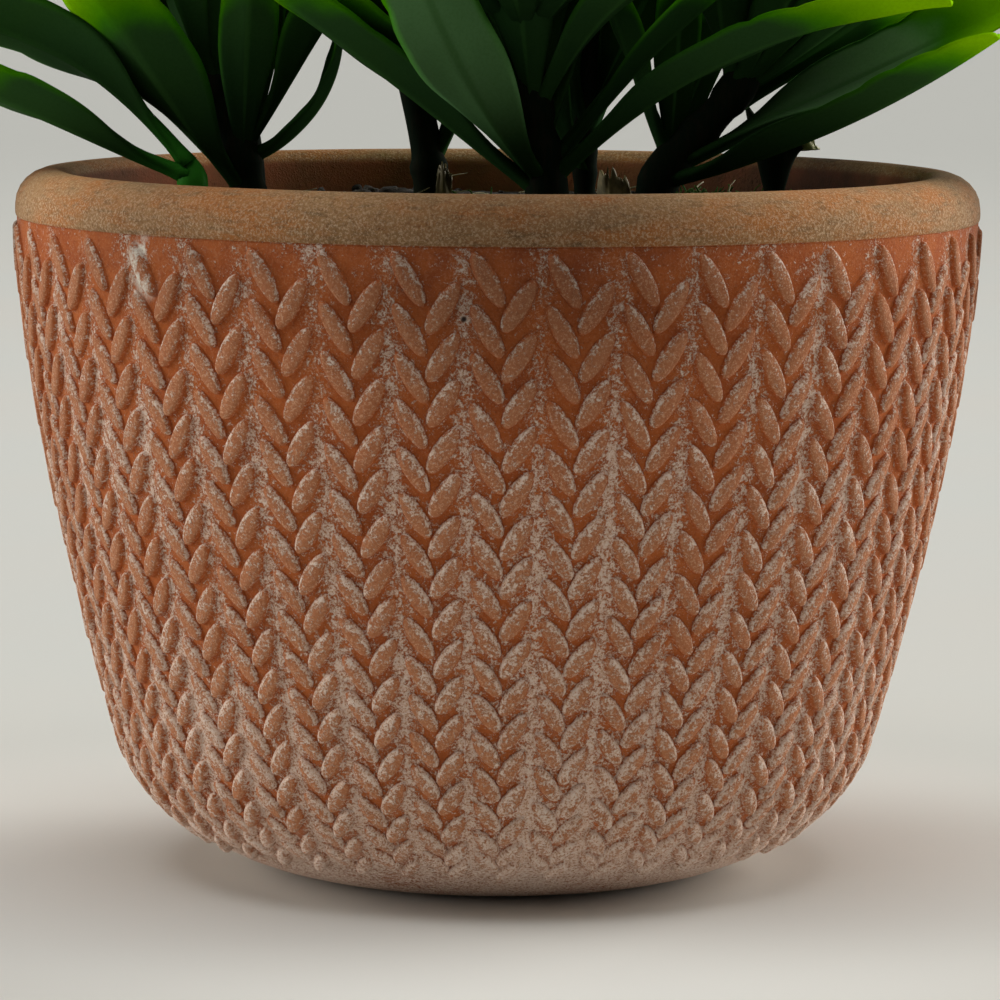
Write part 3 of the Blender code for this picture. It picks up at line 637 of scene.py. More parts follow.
def blade_mesh(stem, leaf, first=0, pad=0.0):
    """A closed strap blade, folded along its middle into a channel. pad makes it wider and thicker."""
    line = spine(stem, leaf)
    points = []
    for u in leaf.stations[first:]:
        centre, side, up, fold = blade_frame(line, leaf, u)
        half = half_width(leaf, u) + pad
        thick = PETIOLE_THICK + (BLADE_THICK - PETIOLE_THICK) * smooth(u, 0, THIN_BY) + 2 * pad
        edge_up = up * half * math.sin(fold)
        points += [
            centre - side * half * math.cos(fold) + edge_up,
            centre + up * thick / 2,
            centre + side * half * math.cos(fold) + edge_up,
            centre - up * thick / 2,
        ]
    faces = [[0, 1, 3], [1, 2, 3]]
    for k in range(0, len(points) - 4, 4):
        left, top, right, below = k, k + 1, k + 2, k + 3
        faces += [[left, left + 4, top + 4], [left, top + 4, top]]
        faces += [[right, top + 4, right + 4], [right, top, top + 4]]
        faces += [[left, below + 4, left + 4], [left, below, below + 4]]
        faces += [[right, right + 4, below + 4], [right, below + 4, below]]
    last = len(points) - 4
    faces += [[last, last + 3, last + 1], [last + 1, last + 3, last + 2]]
    return points, faces


def clears_pot(points):
    """True where every point is above the soil, and either inside the pot's mouth or above its rim."""
    for p in points:
        radius = math.hypot(p.x, p.y)
        if radius > RIM_RADIUS + RIM_MARGIN:
            continue
        over_rim = radius > RIM_RADIUS - WALL_THICKNESS - RIM_MARGIN
        low = POT_HEIGHT + RIM_CLEARANCE if over_rim else STEM_BASE + CLEARANCE
        if p.z < low:
            return False
    return True


def tree(mesh):
    return BVHTree.FromPolygons([tuple(p) for p in mesh[0]], mesh[1])


class Thicket:
    """The leaves and stems placed so far, which a new leaf has to stay clear of."""

    def __init__(self, others):
        self.stems = {stem.name: tree(stem_mesh(stem)) for stem in STEMS}
        self.others = others
        self.leaves = []

    def clear(self, stem, leaf):
        outer = blade_mesh(stem, leaf, OUTER_STATION, CLEARANCE)
        if not clears_pot(outer[0]):
            return False
        whole, outer = tree(blade_mesh(stem, leaf, 0, CLEARANCE)), tree(outer)
        if any(whole.overlap(other) for other in self.others):
            return False
        for name, tube in self.stems.items():
            if (outer if name == stem.name else whole).overlap(tube):
                return False
        for name, placed, placed_outer in self.leaves:
            own = name == stem.name
            if (outer if own else whole).overlap(placed_outer if own else placed):
                return False
        return True

    def add(self, stem, leaf):
        self.leaves.append(
            (stem.name, tree(blade_mesh(stem, leaf)), tree(blade_mesh(stem, leaf, OUTER_STATION)))
        )

    def settle(self, stem, leaf):
        """The leaf, turned and lifted just enough to clear what is there, or None for want of room."""
        for lift in LIFTS:
            for turn in TURNS:
                moved = leaf._replace(azimuth=leaf.azimuth + turn, rise=leaf.rise + lift)
                if self.clear(stem, moved):
                    self.add(stem, moved)
                    return moved
        return None


def grown_tiers(stem):
    """The leaves above those placed one by one: whorls that turn from tier to tier and steepen."""
    chance = random.Random(stem.seed)
    leaves = []
    tiers = [t for t in stem_tiers(stem) if t >= stem.first_tier]
    for number, tier in enumerate(tiers):
        share = tier / stem.height
        count = TIER_LEAVES[0] if tier < FULL_TIERS_BELOW else TIER_LEAVES[1]
        for k in range(count):
            azimuth = stem.turn + number * TIER_TURN + k * 360 / count
            azimuth += chance.uniform(-GROWN_TURN_VARIES, GROWN_TURN_VARIES)
            rise = LOW_RISE + (HIGH_RISE - LOW_RISE) * share
            rise += chance.uniform(-GROWN_RISE_VARIES, GROWN_RISE_VARIES)
            arch = chance.uniform(*GROWN_ARCHES)
            length = LOW_LENGTH + (HIGH_LENGTH - LOW_LENGTH) * share
            length += chance.uniform(-GROWN_LENGTH_VARIES, GROWN_LENGTH_VARIES)
            width = chance.uniform(*GROWN_WIDTHS)
            roll = chance.uniform(-GROWN_ROLL, GROWN_ROLL)
            leaves.append(Leaf(tier, azimuth, rise, arch, length, width, roll, GROWN_STATIONS))
    return leaves


def plan_leaves(others):
    """Every stem's leaves, those that are placed one by one first."""
    thicket = Thicket(others)
    plan = {stem.name: [] for stem in STEMS}
    for source in (seen_leaves, grown_tiers):
        for stem in STEMS:
            settled = [thicket.settle(stem, leaf) for leaf in source(stem)]
            plan[stem.name] += [leaf for leaf in settled if leaf]
    return plan


def cut_shoot_mesh():
    """A short flattened shoot that widens to its slanting, ragged cut."""
    chance = random.Random(CUT_SHOOT_SEED)
    foot = Vector((*CUT_SHOOT_FOOT, STEM_BASE / MM))
    top = CUT_SHOOT_STATIONS[-1][0]
    points = []
    for z, half, depth in CUT_SHOOT_STATIONS:
        for k in range(CUT_SHOOT_SIDES):
            a = 2 * math.pi * k / CUT_SHOOT_SIDES
            ragged = chance.uniform(-CUT_SHOOT_RAGGED, CUT_SHOOT_RAGGED)
            cut = ragged - CUT_SHOOT_SLANT * math.cos(a) if z == top else 0
            points.append((foot + Vector((half * math.cos(a), depth * math.sin(a), z + cut))) * MM)
    faces = [face for k in range(len(CUT_SHOOT_STATIONS) - 1) for face in band(k, CUT_SHOOT_SIDES)]
    faces.append(list(range(CUT_SHOOT_SIDES)))
    edge = list(range(len(points) - CUT_SHOOT_SIDES, len(points)))
    points.append((foot + Vector((0, 0, top - CUT_SHOOT_HOLLOW))) * MM)
    faces += [[len(points) - 1, a, b] for a, b in zip(edge, edge[1:] + edge[:1])]
    return points, faces


def husk_mesh(foot, azimuth, half, height):
    """A thin bowed scale of dry sheath, standing on the soil."""
    out, side = heading(azimuth, 0), heading(azimuth + 90, 0)
    base = Vector((*foot, 0)) * MM
    base.z = soil_height(base.length, SOIL_BUMP)
    points = []
    for layer in (0, HUSK_THICK):
        for share, wide in HUSK_OUTLINE:
            for across in (-1, 0, 1):
                bow = half * HUSK_BOW * (1 - across * across) + HUSK_LEAN * share
                rise = height * share * (1 - HUSK_SLANT * across)
                shift = side * across * half * wide + out * bow + Vector((0, 0, rise))
                points.append(base + shift * MM + out * layer)
    grid = [[r * 3 + c, r * 3 + c + 1, r * 3 + c + 4, r * 3 + c + 3] for r in range(2) for c in range(2)]
    faces = grid + [[v + 9 for v in reversed(face)] for face in grid]
    edge = [0, 1, 2, 5, 8, 7, 6, 3]
    faces += [[a, b, b + 9, a + 9] for a, b in zip(edge, edge[1:] + edge[:1])]
    return points, faces


# How pieces and finishes are made


class Wire:
    """A shader socket. Arithmetic on wires adds the Math nodes that it stands for."""

    def __init__(self, tree, socket=None):
        self.tree = tree
        self.socket = socket

    def node(self, kind, settings=None, sockets=None, out=0):
        """A new node of that kind: its settings go in first, then its sockets' values or links."""
        made = self.tree.nodes.new("ShaderNode" + kind)
        for name, value in (settings or {}).items():
            setattr(made, name, value)
        for name, value in (sockets or {}).items():
            if isinstance(value, Wire):
                self.tree.links.new(value.socket, made.inputs[name])
            else:
                made.inputs[name].default_value = value
        return Wire(self.tree, made.outputs[out])

    def maths(self, operation, first, second):
        return self.node("Math", {"operation": operation}, {0: first, 1: second})

    def __add__(self, other):
        return self.maths("ADD", self, other)

    __radd__ = __add__

    def __sub__(self, other):
        return self.maths("SUBTRACT", self, other)

    def __rsub__(self, other):
        return self.maths("SUBTRACT", other, self)

    def __mul__(self, other):
        return self.maths("MULTIPLY", self, other)

    __rmul__ = __mul__

    def step(self, low, high):
        """0 below low and 1 above high, with a smooth rise between them. Low may be the larger."""
        ends = {"Value": self, "From Min": low, "From Max": high}
        return self.node("MapRange", {"interpolation_type": "SMOOTHSTEP"}, ends)

    def clamp(self):
        return self.node("Clamp", {}, {0: self})

    def mix(self, first, second):
        """The colour first where this mask is 0 and second where it is 1."""
        return self.node("Mix", {"data_type": "RGBA"}, {0: self, 6: first, 7: second}, out=2)

    def tint(self, first, second):
        """The colour first, multiplied by the colour second by as much as this mask says."""
        settings = {"data_type": "RGBA", "blend_type": "MULTIPLY"}
        return self.node("Mix", settings, {0: self, 6: first, 7: second}, out=2)

    def part(self, axis):
        return self.node("SeparateXYZ", {}, {0: self}, out=axis)

    def grain(self, scale, detail, rough):
        """Noise with this wire as its coordinates."""
        sockets = {"Vector": self, "Scale": scale, "Detail": detail, "Roughness": rough}
        return self.node("TexNoise", {}, sockets)

    def stretched(self, x, y, z):
        return self.node("VectorMath", {"operation": "MULTIPLY"}, {0: self, 1: (x, y, z)})


def finish(name):
    """A new material, and a wire for its nodes to start from."""
    made = bpy.data.materials.new(name)
    made.use_nodes = True
    return made, Wire(made.node_tree)


def dress(base, **sockets):
    """Gives the shader's sockets their values or links."""
    shader = base.tree.nodes["Principled BSDF"]
    for name, value in sockets.items():
        socket = shader.inputs[name.replace("_", " ").title().replace("Ior", "IOR")]
        if isinstance(value, Wire):
            base.tree.links.new(value.socket, socket)
        else:
            socket.default_value = value


def put(name, points, faces, material, node=None, marks=None, weld=None, sharp=None):
    """A piece of the plant, made from points and faces, that rides with the pot.

    Marks are lists of three numbers at each point, for the material to read. Points closer than weld
    become one, and edges sharper than sharp degrees stay crisp.
    """
    mesh = bpy.data.meshes.new(name)
    mesh.from_pydata([tuple(p) for p in points], [], faces)
    for label, values in (marks or {}).items():
        layer = mesh.attributes.new(label, "FLOAT_VECTOR", "POINT")
        layer.data.foreach_set("vector", np.asarray(values, dtype=np.float32).ravel())
    mesh.validate()
    shape = bmesh.new()
    shape.from_mesh(mesh)
    if weld:
        bmesh.ops.remove_doubles(shape, verts=shape.verts, dist=weld)
    bmesh.ops.recalc_face_normals(shape, faces=shape.faces)
    shape.to_mesh(mesh)
    shape.free()
    mesh.shade_smooth()
    if sharp:
        mesh.set_sharp_from_angle(angle=math.radians(sharp))
    piece = bpy.data.objects.new(name, mesh)
    bpy.context.scene.collection.objects.link(piece)
    mesh.materials.append(material)
    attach(piece, "root")
    if node:
        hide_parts(node)
    return piece


class Build:
    """Points, faces and marks that are gathered for one piece."""

    def __init__(self):
        self.points = []
        self.faces = []
        self.marks = []

    def add(self, points, faces, marks=None):
        first = len(self.points)
        self.points += points
        self.faces += [[v + first for v in face] for face in faces]
        self.marks += marks if marks else [(0.0, 0.0, 0.0)] * len(points)


# The pot


def lerp(ends, share):
    return ends[0] + (ends[1] - ends[0]) * share


def seed_rows():
    """For each row of seeds: the arcs of the left and the right tip, both lengths and the width."""
    rows = []
    tip, pitch = FIRST_TIP, FIRST_PITCH
    for number in range(BRAID_ROWS):
        share = number / (BRAID_ROWS - 1)
        sizes = (RIGHT_DROP, LEFT_LENGTH, RIGHT_LENGTH, SEED_WIDTHS)
        drop, left, right, width = (lerp(ends, share) * pitch for ends in sizes)
        rows.append((tip, tip - drop, left, right, width))
        tip -= pitch
        pitch -= PITCH_DROP
    return rows


def seed_outline(outer, inner, top, length, width, inset):
    """A pointed seed, blunter at its root, drawn in metres on the unrolled wall."""
    column = 2 * math.pi * wall_profile(top - length / 2)[0] / BRAID_COLUMNS
    tip, root = Vector((outer * column, top)), Vector((inner * column, top - length))
    along = (root - tip).normalized()
    across = Vector((along.y, -along.x))
    lean = abs(along.x)
    widest = width * lean
    reach = (root - tip).length
    start, end = tip + along * inset * TIP_INSET, root - along * inset
    sides = ([], [])
    for t in SEED_STEPS:
        centre = start.lerp(end, t)
        full = (1 - abs(2 * t**SEED_BELLY - 1) ** SEED_ROUND) ** (1 / SEED_ROUND)
        wide = full * max(widest - inset, SEED_LEAST)
        sides[0].append(centre + across * wide)
        sides[1].append(centre - across * wide)
    outline = sides[0] + sides[1][-2:0:-1]
    return [(p.x / column, p.y) for p in outline]


def braid_template():
    """One column of the braid: (turn, arc, lift) points, faces, each point's seed, how many, and drifts.

    A drift is how far a seed's point is on its upper side, and how near the point is to a column's edge.
    """
    rows = seed_rows()
    steps = [k / COLUMN_STEPS for k in range(COLUMN_STEPS + 1)]
    flat = [(turn, BRAID_TOP) for turn in steps] + [(turn, BRAID_BOTTOM) for turn in steps]
    for tip, right_tip, _, _, _ in rows:
        for arc in (tip * 0.6 + right_tip * 0.4, right_tip * 1.4 - tip * 0.4):
            flat += [(0.0, arc), (1.0, arc)]
    seeds = []
    for tip, right_tip, left, right, width in rows:
        seeds.append((*LEFT_SEED, tip, left, width))
        seeds.append((*RIGHT_SEED, right_tip, right, width))
    loops = []
    for outer, inner, top, length, width in seeds:
        outline = seed_outline(outer, inner, top, length, width, 0.0)
        loops.append(list(range(len(flat), len(flat) + len(outline))))
        flat += outline
    plane = [Vector((turn * COLUMN_WIDTH, arc)) for turn, arc in flat]
    _, _, ground, origins, _, inside = geometry.delaunay_2d_cdt(plane, [], loops, 0, CAREFUL)
    points = [(turn, arc, 0.0) for turn, arc in flat]
    owner = [-1] * len(flat)
    upper = [0.0] * len(flat)
    faces = [[origins[v][0] for v in face] for face, held in zip(ground, inside) if not held]
    for number, (loop, (outer, inner, top, length, width)) in enumerate(zip(loops, seeds)):
        count = len(loop)
        sides = [0.0] + [1.0 if outer > inner else 0.0] * (count // 2 - 1) + [0.0]
        sides += [1.0 if outer < inner else 0.0] * (count - len(sides))
        for v, side in zip(loop, sides):
            owner[v] = number
            upper[v] = side
        below = loop
        for inset, lift in SEED_RINGS[1:]:
            outline = seed_outline(outer, inner, top, length, width, inset)
            above = list(range(len(points), len(points) + len(outline)))
            tilts = [1 + SEED_TILT * ((top - arc) / length - 0.5) for _, arc in outline]
            points += [(turn, arc, lift * tilt) for (turn, arc), tilt in zip(outline, tilts)]
            owner += [number] * count
            upper += sides
            corners = [(k, (k + 1) % count) for k in range(count)]
            faces += [[below[a], below[b], above[b], above[a]] for a, b in corners]
            below = above
        faces.append(below)
    valley = [1 - smooth(min(turn, 1 - turn), 0, VALLEY_REACH) for turn, _, _ in points]
    return points, faces, owner, len(seeds), list(zip(upper, valley))


def wall_points(turns, arcs, lifts):
    """Points off the outer wall, by turns in columns, arcs up the wall and lifts off its surface."""
    ahead = np.minimum(arcs + WALL_STEP / 2, WALL_ARCS[-1])
    behind = ahead - WALL_STEP
    r, z = wall_profile(arcs)
    r1, z1 = wall_profile(ahead)
    r0, z0 = wall_profile(behind)
    dr, dz = r1 - r0, z1 - z0
    length = np.hypot(dr, dz)
    r, z = r + lifts * dz / length, z - lifts * dr / length
    angle = BRAID_TURN + turns * 2 * math.pi / BRAID_COLUMNS
    return np.stack([r * np.cos(angle), r * np.sin(angle), z], -1)


def drain_centres():
    return [DRAIN_CIRCLE * heading(360 * k / DRAIN_HOLES, 0) for k in range(DRAIN_HOLES)]


def plate(points_ring, z):
    """A flat plate inside a ring at height z, with the drain holes left open: points and faces."""
    flat = [Vector((p.x, p.y)) for p in points_ring]
    loops = [list(range(len(flat)))]
    for centre in drain_centres():
        loops.append(list(range(len(flat), len(flat) + HOLE_SIDES)))
        flat += [Vector((centre.x + q.x, centre.y + q.y)) for q in ring(DRAIN_RADIUS, 0, HOLE_SIDES)]
    _, _, faces, origins, _, inside = geometry.delaunay_2d_cdt(flat, [], loops, 0, CAREFUL)
    kept = [[origins[v][0] for v in face] for face, held in zip(faces, inside) if held == [0]]
    return [Vector((p.x, p.y, z)) for p in flat], kept


def band_profile():
    """(radius, z) from the braid's top over the smooth rim and down to the top of the inner wall."""
    profile = []
    for rise, out in RIM_LEDGE:
        radius, z = wall_profile(BRAID_TOP + rise)
        profile.append((radius + out, z))
    out, rise = RIM_RADIUS - RIM_TOP_RADIUS + BAND_PROUD, POT_HEIGHT - WALL_TOP
    for a in np.radians(RIM_TURNS):
        profile.append((RIM_TOP_RADIUS + out * math.cos(a), WALL_TOP + rise * math.sin(a)))
    inner, low = INSIDE_TOP
    for a in np.radians(RIM_INNER_TURNS):
        profile.append((inner + RIM_INNER_ROUND * (1 - math.cos(a)), low + RIM_INNER_ROUND * math.sin(a)))
    return profile


def fine_inside():
    """(radius, z) down the inner wall and round to the floor, in small steps."""
    profile = inside_profile(INSIDE_TOP[1])
    radii, heights = [r for r, _ in reversed(profile)], [z for _, z in reversed(profile)]
    steps = np.linspace(INSIDE_TOP[1], INSIDE_HEIGHTS[-1], INSIDE_STEPS)[1:]
    return [(float(np.interp(z, heights, radii)), float(z)) for z in steps] + profile[-3:]


def add_braid(whole):
    """Every column of the braid, its seeds a little astray and each of its own shade. Gives the drifts."""
    template, faces, owner, seeds, drifts = braid_template()
    turns, arcs, lifts = (np.array(column) for column in zip(*template))
    owner = np.array(owner)
    chance = np.random.default_rng(POT_SEED)
    for column in range(BRAID_COLUMNS):
        moved = chance.normal(0, SEED_JITTER, (seeds + 1, 2))
        moved[seeds] = 0
        high = 1 + chance.normal(0, LIFT_VARIES, seeds + 1)
        shade = chance.uniform(0, 1, seeds + 1)
        shade[seeds] = PLAIN
        across, along = turns + column + moved[owner, 0] / COLUMN_WIDTH, arcs + moved[owner, 1]
        points = [Vector(p) for p in wall_points(across, along, lifts * high[owner])]
        whole.add(points, faces, [(lift / SEED_RIDGE, 0.0, shade[o]) for lift, o in zip(lifts, owner)])
    return [(upper, valley, 0.0) for upper, valley in drifts] * BRAID_COLUMNS


def add_turned(whole, profile, zones):
    """A smooth part of the pot, ring by ring: zone 0 is the wall, 1 the rim and 2 the inside."""
    points, marks = [], []
    for (r, z), zone in zip(profile, zones):
        points += ring(r, z, SIDES, BRAID_TURN)
        marks += [(0.0, zone, PLAIN)] * SIDES
    whole.add(points, [face for k in range(len(profile) - 1) for face in band(k, SIDES)], marks)
    return points


def build_pot(material):
    """The pot with every seed of its braid, as one closed skin."""
    whole = Build()
    drift = add_braid(whole)
    foot = [wall_profile(arc) for arc in FOOT_ARCS + [BRAID_BOTTOM]]
    rim, inside = band_profile(), fine_inside()
    zones = [0.0] * 2 + [1.0] * (len(rim) - 3) + [1.5] + [2.0] * (len(inside) + 1)
    low = add_turned(whole, foot, [0.0] * len(foot))[:SIDES]
    top = add_turned(whole, [wall_profile(BRAID_TOP)] + rim + inside, zones)[-SIDES:]
    for edge, z in ((low, 0.0), (top, FLOOR_THICKNESS)):
        points, faces = plate(edge, z)
        whole.add(points, faces, [(0.0, 0.0, PLAIN)] * len(points))
    for centre in drain_centres():
        points = [q + centre for z in (0.0, FLOOR_THICKNESS) for q in ring(DRAIN_RADIUS, z, HOLE_SIDES)]
        whole.add(points, band(0, HOLE_SIDES), [(0.0, 0.0, PLAIN)] * len(points))
    drift += [(0.0, SMOOTH_DRIFT, 0.0)] * (len(whole.points) - len(drift))
    marks = {"relief": whole.marks, "drift": drift}
    put("clay_pot", whole.points, whole.faces, material, "pot", marks, POT_WELD, POT_SHARP)


# The leafy stems


def margin(leaf, u, phase):
    """The share of the blade's half width that a shallow notch leaves at u."""
    lobes = leaf.length * MM / LOBE_LENGTH
    lobe = abs(math.sin(math.pi * (u * lobes + phase))) ** LOBE_POWER
    return 1 - LOBE_DEPTH * (1 - lobe) * smooth(u, *LOBE_START)


def shown_blade(stem, leaf, chance, fresh):
    """The fine blade that is shown: channelled, with a grooved midrib, a keel and a notched margin."""
    line = spine(stem, leaf)
    tone = chance.random()
    phases = (chance.random(), chance.random())
    ripple_phase, ripple_turns = chance.uniform(0, 6.28), chance.uniform(*RIPPLE_TURNS)
    points, marks = [], []
    stations = [k / (SHOWN_STATIONS - 1) for k in range(SHOWN_STATIONS)]
    stations = [LAST_STATION * (1 - (1 - s) ** STATION_EASE) for s in stations]
    for u in stations:
        centre, side, up, fold = blade_frame(line, leaf, u)
        flare = FLARE * stem.radius / WIDEST_STEM * max(0.0, 1 - u / FLARE_TO) ** 2
        plain = strap_half_width(leaf, u) + flare
        thick = PETIOLE_THICK + (SHOWN_THICK - PETIOLE_THICK) * smooth(u, 0, THIN_BY) + flare
        petiole = 1 - smooth(u, *ROUND_PART)
        wave = ripple_turns * math.tau * u + ripple_phase
        keel = KEEL * (1 - smooth(u, *KEEL_FADES)) + KEEL_LEAST
        tops, belows = [], []
        for v in SHOWN_ACROSS:
            half = plain * margin(leaf, u, phases[0 if v < 0 else 1])
            lift = half * math.sin(fold) * abs(v) ** EDGE_LIFT_POWER
            ripple = RIPPLE * math.sin(wave + (RIPPLE_LAG if v > 0 else 0))
            lift += ripple * v * v * smooth(u, *RIPPLE_FULL)
            spot = centre + side * (v * half * math.cos(fold)) + up * lift
            if abs(v) == 1:
                tops.append(spot)
                continue
            flat_part = SHOWN_MARGIN + (1 - SHOWN_MARGIN) * (1 - v * v) ** FLAT_POWER
            body = thick * (petiole * math.sqrt(1 - v * v) + (1 - petiole) * flat_part) / 2
            middle = 1 if v == 0 else 0
            tops.append(spot + up * (body - middle * GROOVE * (1 - petiole * GROOVE_FADE)))
            belows.append(spot - up * (body + middle * keel))
        points += tops + belows[::-1]
        marks += [(u, abs(v), 0.0 if abs(v) < 1 else 0.5) for v in SHOWN_ACROSS]
        marks += [(u, abs(v), 1.0) for v in SHOWN_ACROSS[-2:0:-1]]
    count = 2 * len(SHOWN_ACROSS) - 2
    faces = [face for k in range(len(stations) - 1) for face in band(k, count)]
    for first in (0, len(points) - count):
        for k in range(len(SHOWN_ACROSS) - 1):
            corners = (k, k + 1, (count - 1 - k) % count, (count - k) % count)
            faces.append([first + v for v in dict.fromkeys(corners)])
    return points, faces, marks, tone


def shown_stem(stem):
    """The stem itself, with a collar where each whorl of leaves springs from it."""
    bud = min(STEM_BUD, stem.height * BUD_SHARE)
    end = stem.height + bud
    heights = list(np.arange(SHOWN_STEM_FOOT, end - SHOWN_STEM_GAP, SHOWN_STEM_STEP)) + [end]
    tiers = stem_tiers(stem)
    points = []
    for height in heights:
        share = 1 - STEM_TAPER * max(0.0, height) / stem.height
        closing = max(0.0, (height - stem.height + BUD_CLOSING) / (BUD_CLOSING + bud))
        radius = stem.radius * share * math.sqrt(max(BUD_TIP, 1 - closing * closing))
        collar = sum(math.exp(-(((height - tier) / COLLAR_RUN) ** 2)) for tier in tiers)
        radius *= 1 + COLLAR * min(1.0, collar)
        centre, side, front = stem_frame(stem, height)
        for k in range(SHOWN_STEM_SIDES):
            a = math.tau * k / SHOWN_STEM_SIDES
            ribbed = radius * (1 + RIB_DEPTH * math.sin(STEM_RIBS * a + stem.seed))
            points.append(centre + (side * math.cos(a) + front * math.sin(a)) * ribbed * MM)
    return points, tube_faces(len(heights), SHOWN_STEM_SIDES), [(0.0, 0.5, 0.0)] * len(points)


def build_shown_stem(stem, leaves, leaf_green, stem_skin):
    chance = random.Random(stem.seed + 100)
    whole = Build()
    tones = []
    fresh = 1.0 if stem.name == "side_shoot" else 0.0
    points, faces, marks = shown_stem(stem)
    stem_points = len(points)
    whole.add(points, faces, marks)
    tones += [(0.5, fresh, 0.0)] * len(points)
    for number, leaf in enumerate(leaves):
        points, faces, marks, tone = shown_blade(stem, leaf, chance, fresh)
        whole.add(points, faces, marks)
        # The same channel carries two leaves' paleness and painted sheen as negative numbers
        pale_sheen = -PALE_SHEEN_LEAVES.get((stem.name, number), -fresh)
        tone = LATE_LEAVES.get((stem.name, number), tone)
        tones += [(tone, pale_sheen, 1.0)] * len(points)
    name, node = "shoot_" + stem.name, "leafy_stem_" + stem.name
    marks = {"blade": whole.marks, "growth": tones}
    piece = put(name, whole.points, whole.faces, leaf_green, node, marks)
    piece.data.materials.append(stem_skin)
    for face in piece.data.polygons:
        if face.vertices[0] < stem_points:
            face.material_index = 1


# The soil, moss, husks and cut shoot


def soil_top(x, y):
    """The height of the lumpy soil."""
    bump = sum(noise.noise(Vector((x, y, level)) * scale) * share for level, scale, share in SOIL_LUMPS)
    return soil_height(math.hypot(x, y), bump * SOIL_BUMP)


def build_soil(material):
    inner = inside_profile(SOIL_EDGE, SOIL_GAP)
    points = [Vector((0, 0, soil_top(0, 0)))]
    for k in range(1, SOIL_RINGS + 1):
        for p in ring(inner[0][0] * k / SOIL_RINGS, 0, SOIL_SIDES):
            points.append(Vector((p.x, p.y, soil_top(p.x, p.y))))
    for r, z in inner[1:]:
        points += ring(r, z, SOIL_SIDES)
    faces = [[0, 1 + k, 1 + (k + 1) % SOIL_SIDES] for k in range(SOIL_SIDES)]
    rings = SOIL_RINGS + len(inner) - 1
    faces += [[v + 1 for v in face] for k in range(rings - 1) for face in band(k, SOIL_SIDES)]
    faces.append([len(points) - SOIL_SIDES + k for k in range(SOIL_SIDES)])
    put("potting_soil", points, faces, material, "soil")


def crumb(centre, size, chance):
    """A lump of soil: a ball pushed out of shape."""
    ball = bmesh.new()
    bmesh.ops.create_icosphere(ball, subdivisions=2, radius=1.0)
    shift = Vector([chance.uniform(0, 50) for _ in range(3)])
    squash = Vector([chance.uniform(*ends) for ends in CRUMB_SQUASH])
    points = []
    for vert in ball.verts:
        push = 1 + CRUMB_PUSH * noise.noise(vert.co * CRUMB_LUMPS + shift)
        points.append(centre + vert.co * squash * size * push)
    faces = [[v.index for v in face.verts] for face in ball.faces]
    ball.free()
    return points, faces


def build_crumbs(material):
    chance = random.Random(CRUMB_SEED)
    whole = Build()
    inner = inside_profile(SOIL_EDGE, SOIL_GAP)[0][0]
    for number in range(CRUMBS + HEAP_CRUMBS):
        size = chance.choice(CRUMB_SIZES) * chance.uniform(*CRUMB_VARIES) * MM
        radius, angle = (inner - 1.4 * size) * math.sqrt(chance.random()), chance.uniform(0, math.tau)
        x, y = radius * math.cos(angle), radius * math.sin(angle)
        if number >= CRUMBS:
            x, y = (HEAP[0] + HEAP[2] * math.cos(angle)) * MM, (HEAP[1] + HEAP[3] * math.sin(angle)) * MM
            size *= HEAP_GROWS
        points, faces = crumb(Vector((x, y, soil_top(x, y) + size * CRUMB_RAISED)), size, chance)
        whole.add(points, faces)
    put("soil_crumbs", whole.points, whole.faces, material)


def strand(path, radius, sides=5):
    """A thin closed tube along a path, tapering at its ends."""
    points = []
    for k, p in enumerate(path):
        ahead, behind = path[min(k + 1, len(path) - 1)], path[max(k - 1, 0)]
        direction = (ahead - behind).normalized()
        side = direction.cross(ASLANT).normalized()
        front = direction.cross(side)
        middle = math.sqrt(math.sin(math.pi * (k + 0.5) / len(path)))
        thin = radius * (STRAND_END + (1 - STRAND_END) * middle)
        for n in range(sides):
            a = math.tau * n / sides
            points.append(p + (side * math.cos(a) + front * math.sin(a)) * thin)
    return points, tube_faces(len(path), sides)


def wandering(start, chance, length, steps, lift):
    """A path that curls about as a dry strand does, staying on or above the soil."""
    azimuth, rise = chance.uniform(0, 360), chance.uniform(0, 40) * lift
    turn, path, at = chance.uniform(-STRAND_TURN, STRAND_TURN), [start], start
    for _ in range(steps):
        azimuth += turn + chance.uniform(-STRAND_SWERVE, STRAND_SWERVE)
        rise += chance.uniform(*STRAND_SINK) * lift
        at = at + heading(azimuth, rise) * (length / steps)
        at.z = max(at.z, soil_top(at.x, at.y) + 0.2 * MM)
        path.append(at.copy())
    return path


def build_moss(material):
    chance = random.Random(MOSS_SEED)
    whole = Build()
    for x, y, spread, count, height in MOSS_PATCHES:
        for _ in range(count):
            a, r = chance.uniform(0, math.tau), spread * math.sqrt(chance.random())
            px, py = (x + r * math.cos(a)) * MM, (y + r * math.sin(a)) * MM
            start = Vector((px, py, soil_top(px, py) + chance.uniform(0, height) * MM))
            path = wandering(start, chance, chance.uniform(*MOSS_LENGTHS) * MM, MOSS_STEPS, 1.0)
            points, faces = strand(path, chance.uniform(*MOSS_THICK) * MM)
            tone = chance.random()
            whole.add(points, faces, [(tone, 0.0, 0.0)] * len(points))
    put("moss", whole.points, whole.faces, material, marks={"strand": whole.marks})


def build_fibres(material):
    chance = random.Random(FIBRE_SEED)
    whole = Build()
    for _ in range(FIBRES):
        a, r = chance.uniform(0, math.tau), FIBRE_SPREAD * math.sqrt(chance.random())
        px, py = r * math.cos(a) * MM, r * math.sin(a) * MM
        start = Vector((px, py, soil_top(px, py) + 0.3 * MM))
        path = wandering(start, chance, chance.uniform(*FIBRE_LENGTHS) * MM, FIBRE_STEPS, FIBRE_LIFT)
        whole.add(*strand(path, chance.uniform(*FIBRE_THICK) * MM))
    put("fibres", whole.points, whole.faces, material)


